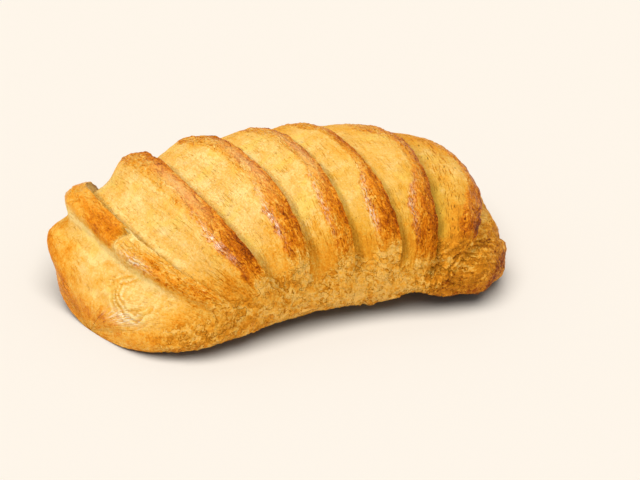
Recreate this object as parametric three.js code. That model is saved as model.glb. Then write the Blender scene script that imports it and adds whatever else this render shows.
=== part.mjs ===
// A cheese croissant: one baked roll, bent like a crescent and cut across the top into seven strips.
// Sizes are in millimetres. X runs along the roll from its broad end, -Y is its hollow side, Z is up.
// The origin is the middle of the box round the roll, on the floor that the flat underside rests on.

import * as THREE from 'three';
import { mergeVertices } from 'three/addons/utils/BufferGeometryUtils.js';

// The roll before it is cut
const SPINE_LENGTH = 144.3;
const BEND = THREE.MathUtils.degToRad(36);
const HEIGHT = 45.25;
const HALF_WIDTH = 41.15;
const WIDEST_LEVEL = 0.468;
const UPPER_POWER = 2.165;
const LOWER_POWER = 2.53;
const UNDERSIDE_SINK = 0.07;
const REAR_DRAW_FROM = 0.3;
const MIDDLE = { backLean: 0.074, ramp: -0.034 };
const LEFT_END = {
  planPower: 3.42,
  heightPower: 3.57,
  heightLoss: 0.228,
  widthGain: 0.094,
  backLean: 0.432,
  ramp: 0.234,
  rearDraw: 11,
};
const RIGHT_END = {
  planPower: 4.76,
  heightPower: 2.62,
  heightLoss: 0.067,
  widthGain: 0.147,
  backLean: -0.134,
  rearDraw: 15,
};

// The seven strips from the broad end: place of the lip at the top, how far it leans and bows towards the
// front, the share of that bow at the rear, the drop behind the lip, the flat share of the cut floor behind
// the lip, and how far the crest stands over the plain roll
const STRIPS = [
  { at: -57.0, lean: -10, bow: 78, rearBow: 0.1, drop: 3.2, floor: 0.22, crest: 3.0 },
  { at: -35.0, lean: 0, bow: 33, rearBow: 0.3, drop: 3.6, floor: 0.12, crest: 2.8 },
  { at: -13.9, lean: 14, bow: -17, rearBow: 0.4, drop: 3.4, floor: 0.04, crest: 2.2 },
  { at: 4.2, lean: 15, bow: -16, rearBow: 0.4, drop: 3.0, floor: 0, crest: 1.5 },
  { at: 20.0, lean: 33, bow: -45, rearBow: 0.4, drop: 2.8, floor: 0, crest: 1.2 },
  { at: 43.3, lean: 4, bow: -30, rearBow: 0.6, drop: 2.6, floor: 0, crest: 1.1 },
  { at: 66.3, lean: -3, bow: -80, rearBow: 1.0, drop: 1.6, floor: 0, crest: 2.2 },
];
const REAR_LEAN_SHARE = 0.5;
const LIP_REACH = 0.5;
const CREST_SHARE = 0.82;
const LIP_ROUND = 0.8;
const LIP_OVERHANG = 0.9;
const LIP_UNDERCUT = 0.5;
const LIP_SEAM = 0.2;

// Angles round the section, in half turns: 0 is the underside, 0.5 the front, 1 the top, 1.5 the rear
const CUT_FRONT = { gone: 0.46, full: 0.60 };
const CUT_REAR = { full: 1.40, gone: 1.54 };

// The first strip stands over a valley on its outer side, and is broken across once
const FIRST_STRIP = { inner: 5.0, outer: 8.5, lipRound: 0.7, lipWidth: 2.0 };
const FIRST_VALLEY = { at: 8.2, width: 2.6, depth: 2.4 };
const FIRST_BREAK = { angle: 0.93, width: 0.03, depth: 1.3, reach: 7.0 };

// The floor behind the last strip rises again over this length
const LAST_FLOOR = 6.0;

// The foot of the narrow end: the lowest layer stands out below a crease that climbs towards the end
const FOOT = { from: 50, to: 70, bulge: 1.7, heelAngle: 0.30, toeAngle: 0.54 };
const FOOT_FRONT = { full: 0.9, gone: 1.2 };
const NARROW_FACE = { from: 60, to: 70, depth: 0.6 };
const CREASE = { from: 27, fullFrom: 40, length: 43, depth: 0.9, width: 0.035 };
const CREASE_RISE = { low: 0.44, climb: 0.36, power: 1.6 };
const CREASE_EDGE = { above: 0.01, below: 0.05 };

// The broad end is drawn in at mid height and has a raised corner at its upper rear
const BROAD_FACE = { from: 60, to: 70, depth: 1.0, angle: 0.90, spread: 0.22 };
const BROAD_CORNER = { at: -68.6, length: 2.6, angle: 1.26, spread: 0.09, height: 2.6 };

// The front edge lifts off the floor near the narrow end
const LIFTED_EDGE = { at: 33, length: 6.5, angle: 0.25, spread: 0.10, height: 4.5 };

// Crags of the crust: seeded waves, deeper on the flaky sides than on the top
const CRAG_SEED = 293;
const DRAW = { factor: 1664525, step: 1013904223, range: 4294967296 };
const CRAG_WAVES = 14;
const CRAG_SHORTEST = 7;
const CRAG_LONGEST = 16;
const CRAG_SIDE = 0.45;
const CRAG_TOP = 0.18;

// Net of the skin
const SEGMENTS = 64;
const LEFT_RINGS = 17;
const RIGHT_RINGS = 9;
const STRIP_SHARES = [0, 0.07, 0.22, 0.4, 0.57, 0.72, 0.86, 1];
const LEFT_SPLIT = 0.5;
const LEFT_PARALLEL = 11.5;
const END_CROWDING = 3;
const POLE_FADE = 0.8;
const SLOPE_STEP = 0.05;
const SLOPE_SHARE = 0.4;
const SMALLEST_STEP = 1e-7;
const ANGLE_STEP = 0.001;
const WELD = 1e-4;

const HALF_SPINE = SPINE_LENGTH / 2;
const BEND_RADIUS = SPINE_LENGTH / BEND;
const { clamp } = THREE.MathUtils;

/** Eases from 0 at a to 1 at b. */
function ease(x, a, b) {
  const t = clamp((x - a) / (b - a), 0, 1);
  return t * t * (3 - 2 * t);
}

/** A round bump of height 1. */
function bump(x, centre, width) {
  return Math.exp(-(((x - centre) / width) ** 2));
}

/** A power that keeps the sign. */
function signedPower(x, power) {
  return Math.sign(x) * Math.abs(x) ** power;
}

/** How far an end has closed at a share of the half length. */
function closing(share, power) {
  return Math.max(0, 1 - Math.abs(share) ** power) ** (1 / power);
}

/** Point of the plain roll at a length along the spine and an angle in half turns. */
function rollPoint(along, angle) {
  const share = clamp(along / HALF_SPINE, -1, 1);
  const left = ease(-share, 0, 1);
  const right = ease(share, 0, 1);
  const end = share < 0 ? LEFT_END : RIGHT_END;
  const heightLeft = 1 - LEFT_END.heightLoss * left - RIGHT_END.heightLoss * right;
  const height = HEIGHT * closing(share, end.heightPower) * heightLeft;
  const flare = 1 + LEFT_END.widthGain * left + RIGHT_END.widthGain * right;
  const width = HALF_WIDTH * closing(share, end.planPower) * flare;
  const across = -Math.sin(Math.PI * angle);
  const up = -Math.cos(Math.PI * angle);
  const power = 2 / (up > 0 ? UPPER_POWER : LOWER_POWER);
  const unitY = signedPower(across, power);
  const unitZ = signedPower(up, power);
  const level = WIDEST_LEVEL * height;
  const ramp = MIDDLE.ramp + (LEFT_END.ramp - MIDDLE.ramp) * left;
  const z = up > 0
    ? level + unitZ * (height - level) * (1 + ramp * unitY)
    : level * (1 + unitZ * (1 + UNDERSIDE_SINK));
  const lean = MIDDLE.backLean
    + (LEFT_END.backLean - MIDDLE.backLean) * left
    + (RIGHT_END.backLean - MIDDLE.backLean) * right;
  const rear = Math.max(0, (unitY * width) / HALF_WIDTH - REAR_DRAW_FROM) / (1 - REAR_DRAW_FROM);
  const drawn = end.rearDraw * rear ** 2 * share * Math.abs(share);
  const radius = BEND_RADIUS + unitY * width + lean * (z - level);
  const turn = (along - drawn) / BEND_RADIUS;
  return new THREE.Vector3(radius * Math.sin(turn), radius * Math.cos(turn) - BEND_RADIUS, z);
}

/** Outward direction of the plain roll. */
function rollNormal(along, angle) {
  const step = Math.min(SLOPE_STEP, SLOPE_SHARE * (HALF_SPINE - Math.abs(along))) + SMALLEST_STEP;
  const lengthwise = rollPoint(along + step, angle).sub(rollPoint(along - step, angle));
  const around = rollPoint(along, angle + ANGLE_STEP).sub(rollPoint(along, angle - ANGLE_STEP));
  return lengthwise.cross(around).normalize();
}

/** Length along the spine at which a strip's lip stands, at an angle. */
function lipAt(strip, angle) {
  const turn = clamp(1 - angle, -LIP_REACH, LIP_REACH);
  const rear = turn < 0;
  const lean = strip.lean * (rear ? REAR_LEAN_SHARE : 1);
  const bow = strip.bow * (rear ? strip.rearBow : 1);
  return strip.at + lean * turn + bow * turn ** 2;
}

/** How far the cuts show at an angle: whole over the top, none on the lower sides. */
function cutShow(angle) {
  return ease(angle, CUT_FRONT.gone, CUT_FRONT.full) * (1 - ease(angle, CUT_REAR.full, CUT_REAR.gone));
}

/** Height of the cut top over the plain roll, in the space before lip number gap. */
function cutHeight(gap, share, along, angle) {
  if (gap === 0) {
    const out = lipAt(STRIPS[0], angle) - along;
    const crest = STRIPS[0].crest * (1 - ease(out, FIRST_STRIP.inner, FIRST_STRIP.outer));
    const lip = FIRST_STRIP.lipRound * (1 - ease(out, 0, FIRST_STRIP.lipWidth));
    const valley = FIRST_VALLEY.depth * bump(out, FIRST_VALLEY.at, FIRST_VALLEY.width);
    const broken = FIRST_BREAK.depth * bump(angle, FIRST_BREAK.angle, FIRST_BREAK.width)
      * (1 - ease(out, 0, FIRST_BREAK.reach));
    return crest - lip - valley - broken;
  }
  const before = STRIPS[gap - 1];
  if (gap === STRIPS.length) {
    return -before.drop * (1 - ease(along - lipAt(before, angle), 0, LAST_FLOOR));
  }
  const { crest } = STRIPS[gap];
  const climb = (before.drop + crest) * ease(share, before.floor, CREST_SHARE);
  return climb - before.drop - LIP_ROUND * ease(share, CREST_SHARE, 1);
}

/** Height of the ends, the foot and the lifted edge over the plain roll. */
function endHeight(along, angle) {
  const rising = Math.min(angle, 2 - angle);
  const run = clamp((along - CREASE.from) / CREASE.length, 0, 1);
  const crease = CREASE_RISE.low + CREASE_RISE.climb * run ** CREASE_RISE.power;
  const below = ease(crease - rising, -CREASE_EDGE.above, CREASE_EDGE.below);
  const front = 1 - ease(angle, FOOT_FRONT.full, FOOT_FRONT.gone);
  const heel = ease(rising, FOOT.heelAngle, FOOT.toeAngle);
  const foot = FOOT.bulge * below * heel * front * ease(along, FOOT.from, FOOT.to);
  const drawn = NARROW_FACE.depth * (1 - below) * ease(along, NARROW_FACE.from, NARROW_FACE.to);
  const fold = CREASE.depth * front * bump(rising, crease, CREASE.width)
    * ease(along, CREASE.from, CREASE.fullFrom);
  const face = BROAD_FACE.depth * ease(-along, BROAD_FACE.from, BROAD_FACE.to)
    * bump(angle, BROAD_FACE.angle, BROAD_FACE.spread);
  const corner = BROAD_CORNER.height * bump(angle, BROAD_CORNER.angle, BROAD_CORNER.spread)
    * bump(along, BROAD_CORNER.at, BROAD_CORNER.length);
  const lifted = LIFTED_EDGE.height * bump(angle, LIFTED_EDGE.angle, LIFTED_EDGE.spread)
    * bump(along, LIFTED_EDGE.at, LIFTED_EDGE.length);
  return foot - drawn - fold - face + corner - lifted;
}

/** A seeded source of numbers from 0 to 1. */
function seededDraw(seed) {
  let state = seed;
  return () => {
    state = (state * DRAW.factor + DRAW.step) % DRAW.range;
    return state / DRAW.range;
  };
}

/** The waves whose sum makes the crags. */
function cragWaves() {
  const draw = seededDraw(CRAG_SEED);
  return Array.from({ length: CRAG_WAVES }, () => {
    const rise = 2 * draw() - 1;
    const bearing = 2 * Math.PI * draw();
    const flat = Math.sqrt(1 - rise * rise);
    const length = CRAG_SHORTEST + (CRAG_LONGEST - CRAG_SHORTEST) * draw();
    const direction = new THREE.Vector3(flat * Math.cos(bearing), flat * Math.sin(bearing), rise);
    return { direction: direction.multiplyScalar((2 * Math.PI) / length), phase: 2 * Math.PI * draw() };
  });
}

/** Height of the crags at a point. */
function cragHeight(waves, point, angle) {
  const sum = waves.reduce((total, wave) => total + Math.sin(wave.direction.dot(point) + wave.phase), 0);
  const depth = CRAG_SIDE + (CRAG_TOP - CRAG_SIDE) * cutShow(angle);
  return (depth * sum) / Math.sqrt(CRAG_WAVES / 2);
}

/** The rings of the net as a gap between lips and a share of its length. */
function netRings() {
  const even = (count) => Array.from({ length: count }, (_, i) => i / (count - 1));
  const rings = even(LEFT_RINGS).map((share) => ({ gap: 0, share }));
  for (let gap = 1; gap < STRIPS.length; gap += 1) {
    rings.push(...STRIP_SHARES.map((share) => ({ gap, share })));
  }
  rings.push(...even(RIGHT_RINGS).map((share) => ({ gap: STRIPS.length, share })));
  return rings;
}

/** Length along the spine of a ring at an angle: parallel to the lips, which hang over the cuts. */
function ringAlong({ gap, share }, angle) {
  const first = gap === 0;
  const last = gap === STRIPS.length;
  const from = first ? -HALF_SPINE : lipAt(STRIPS[gap - 1], angle);
  const to = last ? HALF_SPINE : lipAt(STRIPS[gap], angle);
  const show = cutShow(angle);
  const hang = share === 1 && !last ? (LIP_OVERHANG + LIP_SEAM) * show - LIP_SEAM : 0;
  const tuck = share === 0 ? LIP_SEAM - (LIP_UNDERCUT + LIP_SEAM) * show : 0;
  if (first && share < LEFT_SPLIT) {
    return from + (to - LEFT_PARALLEL - from) * (share / LEFT_SPLIT) ** END_CROWDING;
  }
  if (first) {
    return to - (LEFT_PARALLEL * (1 - share)) / (1 - LEFT_SPLIT) + hang;
  }
  const spaced = last ? 1 - (1 - share) ** END_CROWDING : share;
  return from + (to - from) * spaced + hang + tuck;
}

/** The whole roll as one closed skin. */
function rollGeometry() {
  const rings = netRings();
  const waves = cragWaves();
  const net = new THREE.SphereGeometry(1, SEGMENTS, rings.length - 1);
  net.deleteAttribute('normal');
  net.deleteAttribute('uv');
  const position = net.getAttribute('position');
  rings.forEach((ring, row) => {
    for (let column = 0; column <= SEGMENTS; column += 1) {
      const angle = (2 * (column % SEGMENTS)) / SEGMENTS;
      const along = ringAlong(ring, angle);
      const point = rollPoint(along, angle);
      const room = HALF_SPINE - Math.abs(along);
      if (room > WELD) {
        const relief = cutHeight(ring.gap, ring.share, along, angle) * cutShow(angle)
          + endHeight(along, angle) + cragHeight(waves, point, angle);
        point.addScaledVector(rollNormal(along, angle), relief * ease(room, 0, POLE_FADE));
      }
      position.setXYZ(row * (SEGMENTS + 1) + column, point.x, point.y, Math.max(point.z, 0));
    }
  });
  const skin = mergeVertices(net, WELD);
  skin.computeBoundingBox();
  const centre = skin.boundingBox.getCenter(new THREE.Vector3());
  skin.translate(-centre.x, -centre.y, -skin.boundingBox.min.z);
  skin.computeVertexNormals();
  return skin;
}

const crust = new THREE.MeshStandardMaterial({ color: 0xd99a3c, roughness: 0.6, metalness: 0 });
crust.name = 'crust';

const croissant = new THREE.Mesh(rollGeometry(), crust);
croissant.name = 'croissant';

const part = new THREE.Group();
part.name = 'cheese_croissant';
part.add(croissant);

export default part;
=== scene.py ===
"""The cheese croissant of the frame: its cut top, browned strips, flaky sides and finish.

The roll's form is worked out in millimetres, by the rules of the part's source.
Its mesh is made in metres.
Angles round the section are in half turns: 0 is the underside, 0.5 the front, 1 the top, 1.5 the rear.
"""

from __future__ import annotations

import logging
import math
from dataclasses import dataclass, field
from enum import Enum

import bpy
import numpy as np
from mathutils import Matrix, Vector, noise


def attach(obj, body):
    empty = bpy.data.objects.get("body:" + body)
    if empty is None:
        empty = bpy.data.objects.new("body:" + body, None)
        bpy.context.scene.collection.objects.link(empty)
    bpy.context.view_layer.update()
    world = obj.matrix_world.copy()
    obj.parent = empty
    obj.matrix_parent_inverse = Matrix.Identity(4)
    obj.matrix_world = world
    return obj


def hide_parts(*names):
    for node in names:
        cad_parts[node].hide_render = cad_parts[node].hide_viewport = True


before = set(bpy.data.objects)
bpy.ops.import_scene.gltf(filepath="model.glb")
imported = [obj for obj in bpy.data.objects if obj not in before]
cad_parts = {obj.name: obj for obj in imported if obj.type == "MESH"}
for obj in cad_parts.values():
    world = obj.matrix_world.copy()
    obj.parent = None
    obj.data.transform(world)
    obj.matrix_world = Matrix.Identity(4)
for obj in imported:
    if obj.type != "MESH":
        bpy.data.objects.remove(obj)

log = logging.getLogger("croissant")
Array = np.ndarray
Socket = bpy.types.NodeSocket
Place = tuple[float, float, float]
Colour = tuple[float, float, float]
MM = 0.001

# Millimetres in one unit of the grain's map
GRAIN_UNIT = 100.0

# Sockets of the node that mixes two colours
MIX_SHARE = 0
MIX_BASE = 6
MIX_ADDED = 7
MIX_RESULT = 2

# How small plates lie: what sets their tilts apart, how steep they are and how far they stand off
PLATE_SEED = 37.0
PLATE_SLOPE = 2.4
PLATE_LIFT = 0.6

# How a shingle is cut: the share of it that is its sharp edge, and its middle height
SHINGLE_EDGE = 0.18
SHINGLE_MIDDLE = 0.45


def ease(x: Array | float, low: Array | float, high: Array | float) -> Array:
    """Eases from 0 to 1.

    Args:
        x: The value.
        low: Where the rise begins.
        high: Where it is complete.

    Returns:
        The share of the rise.
    """
    t = np.clip((x - low) / (high - low), 0.0, 1.0)
    return t * t * (3.0 - 2.0 * t)


def bump(x: Array, centre: Array | float, width: float) -> Array:
    """A round bump of height 1.

    Args:
        x: The value.
        centre: Where the bump is highest.
        width: Its half width.

    Returns:
        The height of the bump.
    """
    return np.exp(-(((x - centre) / width) ** 2))


def blend(a: Array | float, b: Array | float, share: Array | float) -> Array:
    """Goes from a to b by a share."""
    return a + (b - a) * share


def cloud(points: Array, size: float, depth: int = 1, shift: float = 0.0) -> Array:
    """Soft lumps at points.

    Args:
        points: Places, the last axis being x, y and z.
        size: Size of the largest lumps, in the unit of the points.
        depth: How many times finer lumps are added.
        shift: Moves the pattern, so that two uses differ.

    Returns:
        Heights from about -1 to 1, one for each point.
    """
    places = (points.reshape(-1, 3) / size + shift).tolist()
    heights = [noise.fractal(p, 1.0, 2.0, depth) for p in places]
    return np.array(heights).reshape(points.shape[:-1])


def plates(points: Array, size: float) -> Array:
    """Small tilted plates that lie over each other's edges.

    Args:
        points: Places, the last axis being x, y and z.
        size: Width of a plate, in the unit of the points.

    Returns:
        The height of the plates, from about -1 to 1.
    """
    heights = []
    for place in (points.reshape(-1, 3) / size).tolist():
        centre = noise.voronoi(place)[1][0]
        tilt = noise.cell_vector(centre * PLATE_SEED) - Vector((0.5, 0.5, 0.5))
        heights.append(PLATE_SLOPE * tilt.dot(Vector(place) - centre) + PLATE_LIFT * tilt.x)
    return np.array(heights).reshape(points.shape[:-1])


def shingles(level: Array) -> Array:
    """Turns heights into steps that lie over each other like flakes.

    Args:
        level: The heights, in steps.

    Returns:
        Heights from about -0.45 to 0.4: each step falls away slowly from its sharp edge.
    """
    part = level - np.floor(level)
    return ease(part, 0.0, SHINGLE_EDGE) * (1.0 - part) - SHINGLE_MIDDLE


def flat(first: Array, second: Array | float) -> Array:
    """Two values as places on a plane, for a pattern that is drawn on the skin."""
    return np.stack([first, second + 0.0 * first, 0.0 * first], axis=-1)


def nothing_yet() -> Array:
    """An empty array, for values that are worked out later."""
    return np.zeros(0)


def deselect_all() -> None:
    """Leaves nothing selected, so that an operator acts on the new piece alone."""
    bpy.ops.object.select_all(action="DESELECT")


@dataclass(frozen=True)
class Span:
    """Where something begins to come in, and where it is whole."""

    begin: float
    full: float

    def rise(self, x: Array | float) -> Array:
        """Eases from 0 where it begins to 1 where it is whole."""
        return ease(x, self.begin, self.full)

    def fall(self, x: Array | float) -> Array:
        """Eases from 1 down to 0 over the same span."""
        return 1.0 - ease(x, self.begin, self.full)


@dataclass(frozen=True)
class Spot:
    """Where something is strongest, and its half width."""

    centre: float
    width: float

    def near(self, x: Array) -> Array:
        """A round bump of height 1 over the spot."""
        return bump(x, self.centre, self.width)


@dataclass(frozen=True)
class Lump:
    """A round swelling: its place along the spine, its angle round the section, and its height."""

    along: Spot
    angle: Spot
    height: float

    def over(self, along: Array, angle: Array) -> Array:
        """Its height at points of the skin."""
        return self.height * self.angle.near(angle) * self.along.near(along)


@dataclass(frozen=True)
class RollEnd:
    """How one end of the roll closes."""

    plan_power: float
    height_power: float
    height_loss: float
    width_gain: float
    back_lean: float
    rear_draw: float


@dataclass(frozen=True)
class PlainRoll:
    """The bent roll before it is cut, in millimetres."""

    spine_length: float = 144.3
    bend: float = math.radians(36.0)
    height: float = 45.25
    half_width: float = 41.15
    widest_level: float = 0.468
    upper_power: float = 2.165
    lower_power: float = 2.53
    underside_sink: float = 0.07
    rear_draw_from: float = 0.3
    back_lean: float = 0.074
    ramp: float = -0.034
    left_ramp: float = 0.234
    left: RollEnd = RollEnd(3.42, 3.57, 0.228, 0.094, 0.432, 11.0)
    right: RollEnd = RollEnd(4.76, 2.62, 0.067, 0.147, -0.134, 15.0)
    slope_step: float = 0.05
    slope_share: float = 0.4
    smallest_step: float = 1e-7
    angle_step: float = 0.001
    smallest_area: float = 1e-15

    @property
    def half_spine(self) -> float:
        """Half the length of the spine."""
        return self.spine_length / 2.0

    def closing(self, share: Array, left_power: float, right_power: float) -> Array:
        """How far the ends have closed.

        Args:
            share: Place along the spine, from -1 to 1.
            left_power: Power of the left end's curve.
            right_power: Power of the right end's curve.

        Returns:
            What is left of the full section, from 0 to 1.
        """
        power = np.where(share < 0.0, left_power, right_power)
        return np.maximum(1.0 - np.abs(share) ** power, 0.0) ** (1.0 / power)

    def point(self, along: Array, angle: Array) -> Array:
        """Points of the plain roll.

        Args:
            along: Lengths along the spine.
            angle: Angles round the section, in half turns.

        Returns:
            Places, the last axis being x, y and z.
        """
        share = np.clip(along / self.half_spine, -1.0, 1.0)
        left = ease(-share, 0.0, 1.0)
        right = ease(share, 0.0, 1.0)
        ends = (self.left, self.right)
        height = self.height * self.closing(share, *(e.height_power for e in ends))
        height = height * (1.0 - self.left.height_loss * left - self.right.height_loss * right)
        width = self.half_width * self.closing(share, *(e.plan_power for e in ends))
        width = width * (1.0 + self.left.width_gain * left + self.right.width_gain * right)
        across = -np.sin(np.pi * angle)
        up = -np.cos(np.pi * angle)
        power = 2.0 / np.where(up > 0.0, self.upper_power, self.lower_power)
        unit_y = np.sign(across) * np.abs(across) ** power
        unit_z = np.sign(up) * np.abs(up) ** power
        level = self.widest_level * height
        ramp = blend(self.ramp, self.left_ramp, left)
        upper = level + unit_z * (height - level) * (1.0 + ramp * unit_y)
        lower = level * (1.0 + unit_z * (1.0 + self.underside_sink))
        z = np.where(up > 0.0, upper, lower)
        lean = self.back_lean + (self.left.back_lean - self.back_lean) * left
        lean = lean + (self.right.back_lean - self.back_lean) * right
        rear = np.maximum(unit_y * width / self.half_width - self.rear_draw_from, 0.0)
        rear = rear / (1.0 - self.rear_draw_from)
        draw = np.where(share < 0.0, self.left.rear_draw, self.right.rear_draw)
        drawn = draw * rear**2 * share * np.abs(share)
        bend_radius = self.spine_length / self.bend
        radius = bend_radius + unit_y * width + lean * (z - level)
        turn = (along - drawn) / bend_radius
        return np.stack([radius * np.sin(turn), radius * np.cos(turn) - bend_radius, z], axis=-1)

    def outward(self, along: Array, angle: Array) -> Array:
        """Outward directions of the plain roll.

        Args:
            along: Lengths along the spine.
            angle: Angles round the section, in half turns.

        Returns:
            Directions of length 1.
        """
        room = np.maximum(self.half_spine - np.abs(along), 0.0)
        step = np.minimum(self.slope_step, self.slope_share * room) + self.smallest_step
        lengthwise = self.point(along + step, angle) - self.point(along - step, angle)
        around = self.point(along, angle + self.angle_step) - self.point(along, angle - self.angle_step)
        direction = np.cross(lengthwise, around)
        size = np.linalg.norm(direction, axis=-1, keepdims=True)
        return direction / np.maximum(size, self.smallest_area)


@dataclass(frozen=True)
class Strip:
    """One crust strip: its lip's line, the cut behind it, the crest before it, its end and its browning."""

    at: float
    lean: float
    bow: float
    rear_bow: float
    drop: float
    rear_drop: float
    floor: float
    crest: float
    rear_crest: float
    end: float
    brown_from: float
    upper_from: float
    upper_brown: float
    lower_brown: float


@dataclass(frozen=True)
class Ring:
    """One ring of the net: a gap between lips, a share of its length, and how far it is down the edge."""

    gap: int
    share: float
    edge: float = 0.0


@dataclass(frozen=True)
class CutTop:
    """The seven strips and the opened cuts between them, in millimetres."""

    strips: tuple[Strip, ...] = (
        Strip(-57.0, -10.0, 78.0, 0.52, 2.5, 0.90, 0.22, 3.0, 1.0, 0.58, 0.50, 0.50, 0.56, 0.56),
        Strip(-35.0, 0.0, 33.0, 0.36, 2.9, 0.55, 0.12, 2.8, 1.14, 0.60, 0.64, 0.72, 0.37, 0.70),
        Strip(-13.9, 14.0, -17.0, 0.5, 2.6, 0.33, 0.04, 2.2, 1.15, 0.62, 0.60, 0.72, 0.36, 0.59),
        Strip(4.2, 15.0, -16.0, 0.1, 2.3, 0.33, 0.0, 1.5, 0.74, 0.58, 0.60, 0.70, 0.33, 0.54),
        Strip(20.0, 33.0, -45.0, 0.4, 2.2, 0.32, 0.0, 1.2, 0.83, 0.61, 0.52, 0.76, 0.42, 0.62),
        Strip(43.3, 4.0, -30.0, 1.2, 2.0, 0.32, 0.0, 1.1, 0.7, 0.56, 0.45, 0.77, 0.46, 0.68),
        Strip(63.2, -3.0, -56.0, 1.0, 1.6, 1.0, 0.0, 2.2, 0.8, 0.69, 0.58, 0.76, 0.50, 0.76),
    )
    taper: Span = Span(0.74, 0.92)
    taper_rear: Span = Span(1.02, 1.12)
    rear_lean_share: float = 0.5
    behind: Span = Span(1.0, 1.2)
    lip_reach: float = 0.5
    crest_share: float = 0.82
    lip_round: float = 0.8
    overhang: float = 0.9
    edge_radius: float = 0.40
    undercut: float = 0.5
    seam: float = 0.6
    ragged: float = 0.4
    ragged_steps: float = 26.0
    ragged_apart: float = 7.7
    ragged_long: float = 3.4
    ragged_long_share: float = 0.8
    uneven: float = 0.35
    uneven_steps: float = 6.0
    uneven_apart: float = 3.1
    fading: float = 0.14
    rear_end: Span = Span(1.40, 1.54)
    first_crest: Span = Span(4.4, 7.6)
    first_lip: Span = Span(0.0, 2.0)
    first_sooner: float = 0.11
    first_rear_width: float = 1.17
    valley: Spot = Spot(7.5, 2.0)
    valley_depth: float = 1.6
    valley_rise: Span = Span(0.62, 0.78)
    torn: Spot = Spot(0.943, 0.013)
    torn_depth: float = 1.9
    torn_reach: Span = Span(0.0, 7.0)
    last_floor: Span = Span(0.0, 6.0)

    @property
    def count(self) -> int:
        """How many strips there are."""
        return len(self.strips)

    def values(self, name: str, number: Array) -> Array:
        """One named value of each numbered strip."""
        return np.array([getattr(s, name) for s in self.strips])[number]

    def band_from(self, number: Array, angle: Array) -> Array:
        """Share of the way to each lip where its brown band begins, later where it tapers high up."""
        high = self.taper.rise(angle) * self.taper_rear.fall(angle)
        return blend(self.values("brown_from", number), self.values("upper_from", number), high)

    def depth(self, number: Array, angle: Array) -> Array:
        """Depth of the cut behind each numbered lip, shallower at the rear and sooner so on the first."""
        behind = self.behind.rise(angle + self.first_sooner * (number == 0))
        return self.values("drop", number) * blend(1.0, self.values("rear_drop", number), behind)

    def rise(self, number: Array, angle: Array) -> Array:
        """Height of each numbered strip's crest, lower at the rear."""
        behind = self.behind.rise(angle)
        return self.values("crest", number) * blend(1.0, self.values("rear_crest", number), behind)

    def lip(self, number: int, angle: Array) -> Array:
        """Length along the spine at which a lip stands.

        Args:
            number: Which lip, from the broad end.
            angle: Angles round the section.

        Returns:
            Lengths along the spine, with the lip's ragged edge.
        """
        strip = self.strips[number]
        turn = np.clip(1.0 - angle, -self.lip_reach, self.lip_reach)
        rear = turn < 0.0
        lean = strip.lean * np.where(rear, self.rear_lean_share, 1.0)
        bow = strip.bow * np.where(rear, strip.rear_bow, 1.0)
        line = flat(angle * self.ragged_steps, number * self.ragged_apart)
        wander = cloud(line, 1.0, depth=3) + self.ragged_long_share * cloud(line, self.ragged_long, shift=5.0)
        return strip.at + lean * turn + bow * turn**2 + self.ragged * self.show(strip.end, angle) * wander

    def show(self, end: Array | float, angle: Array) -> Array:
        """How far a cut shows.

        Args:
            end: Angle above which it shows whole at the front.
            angle: Angles round the section.

        Returns:
            1 over the top, 0 on the lower sides.
        """
        return ease(angle, end - self.fading, end) * self.rear_end.fall(angle)


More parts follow.
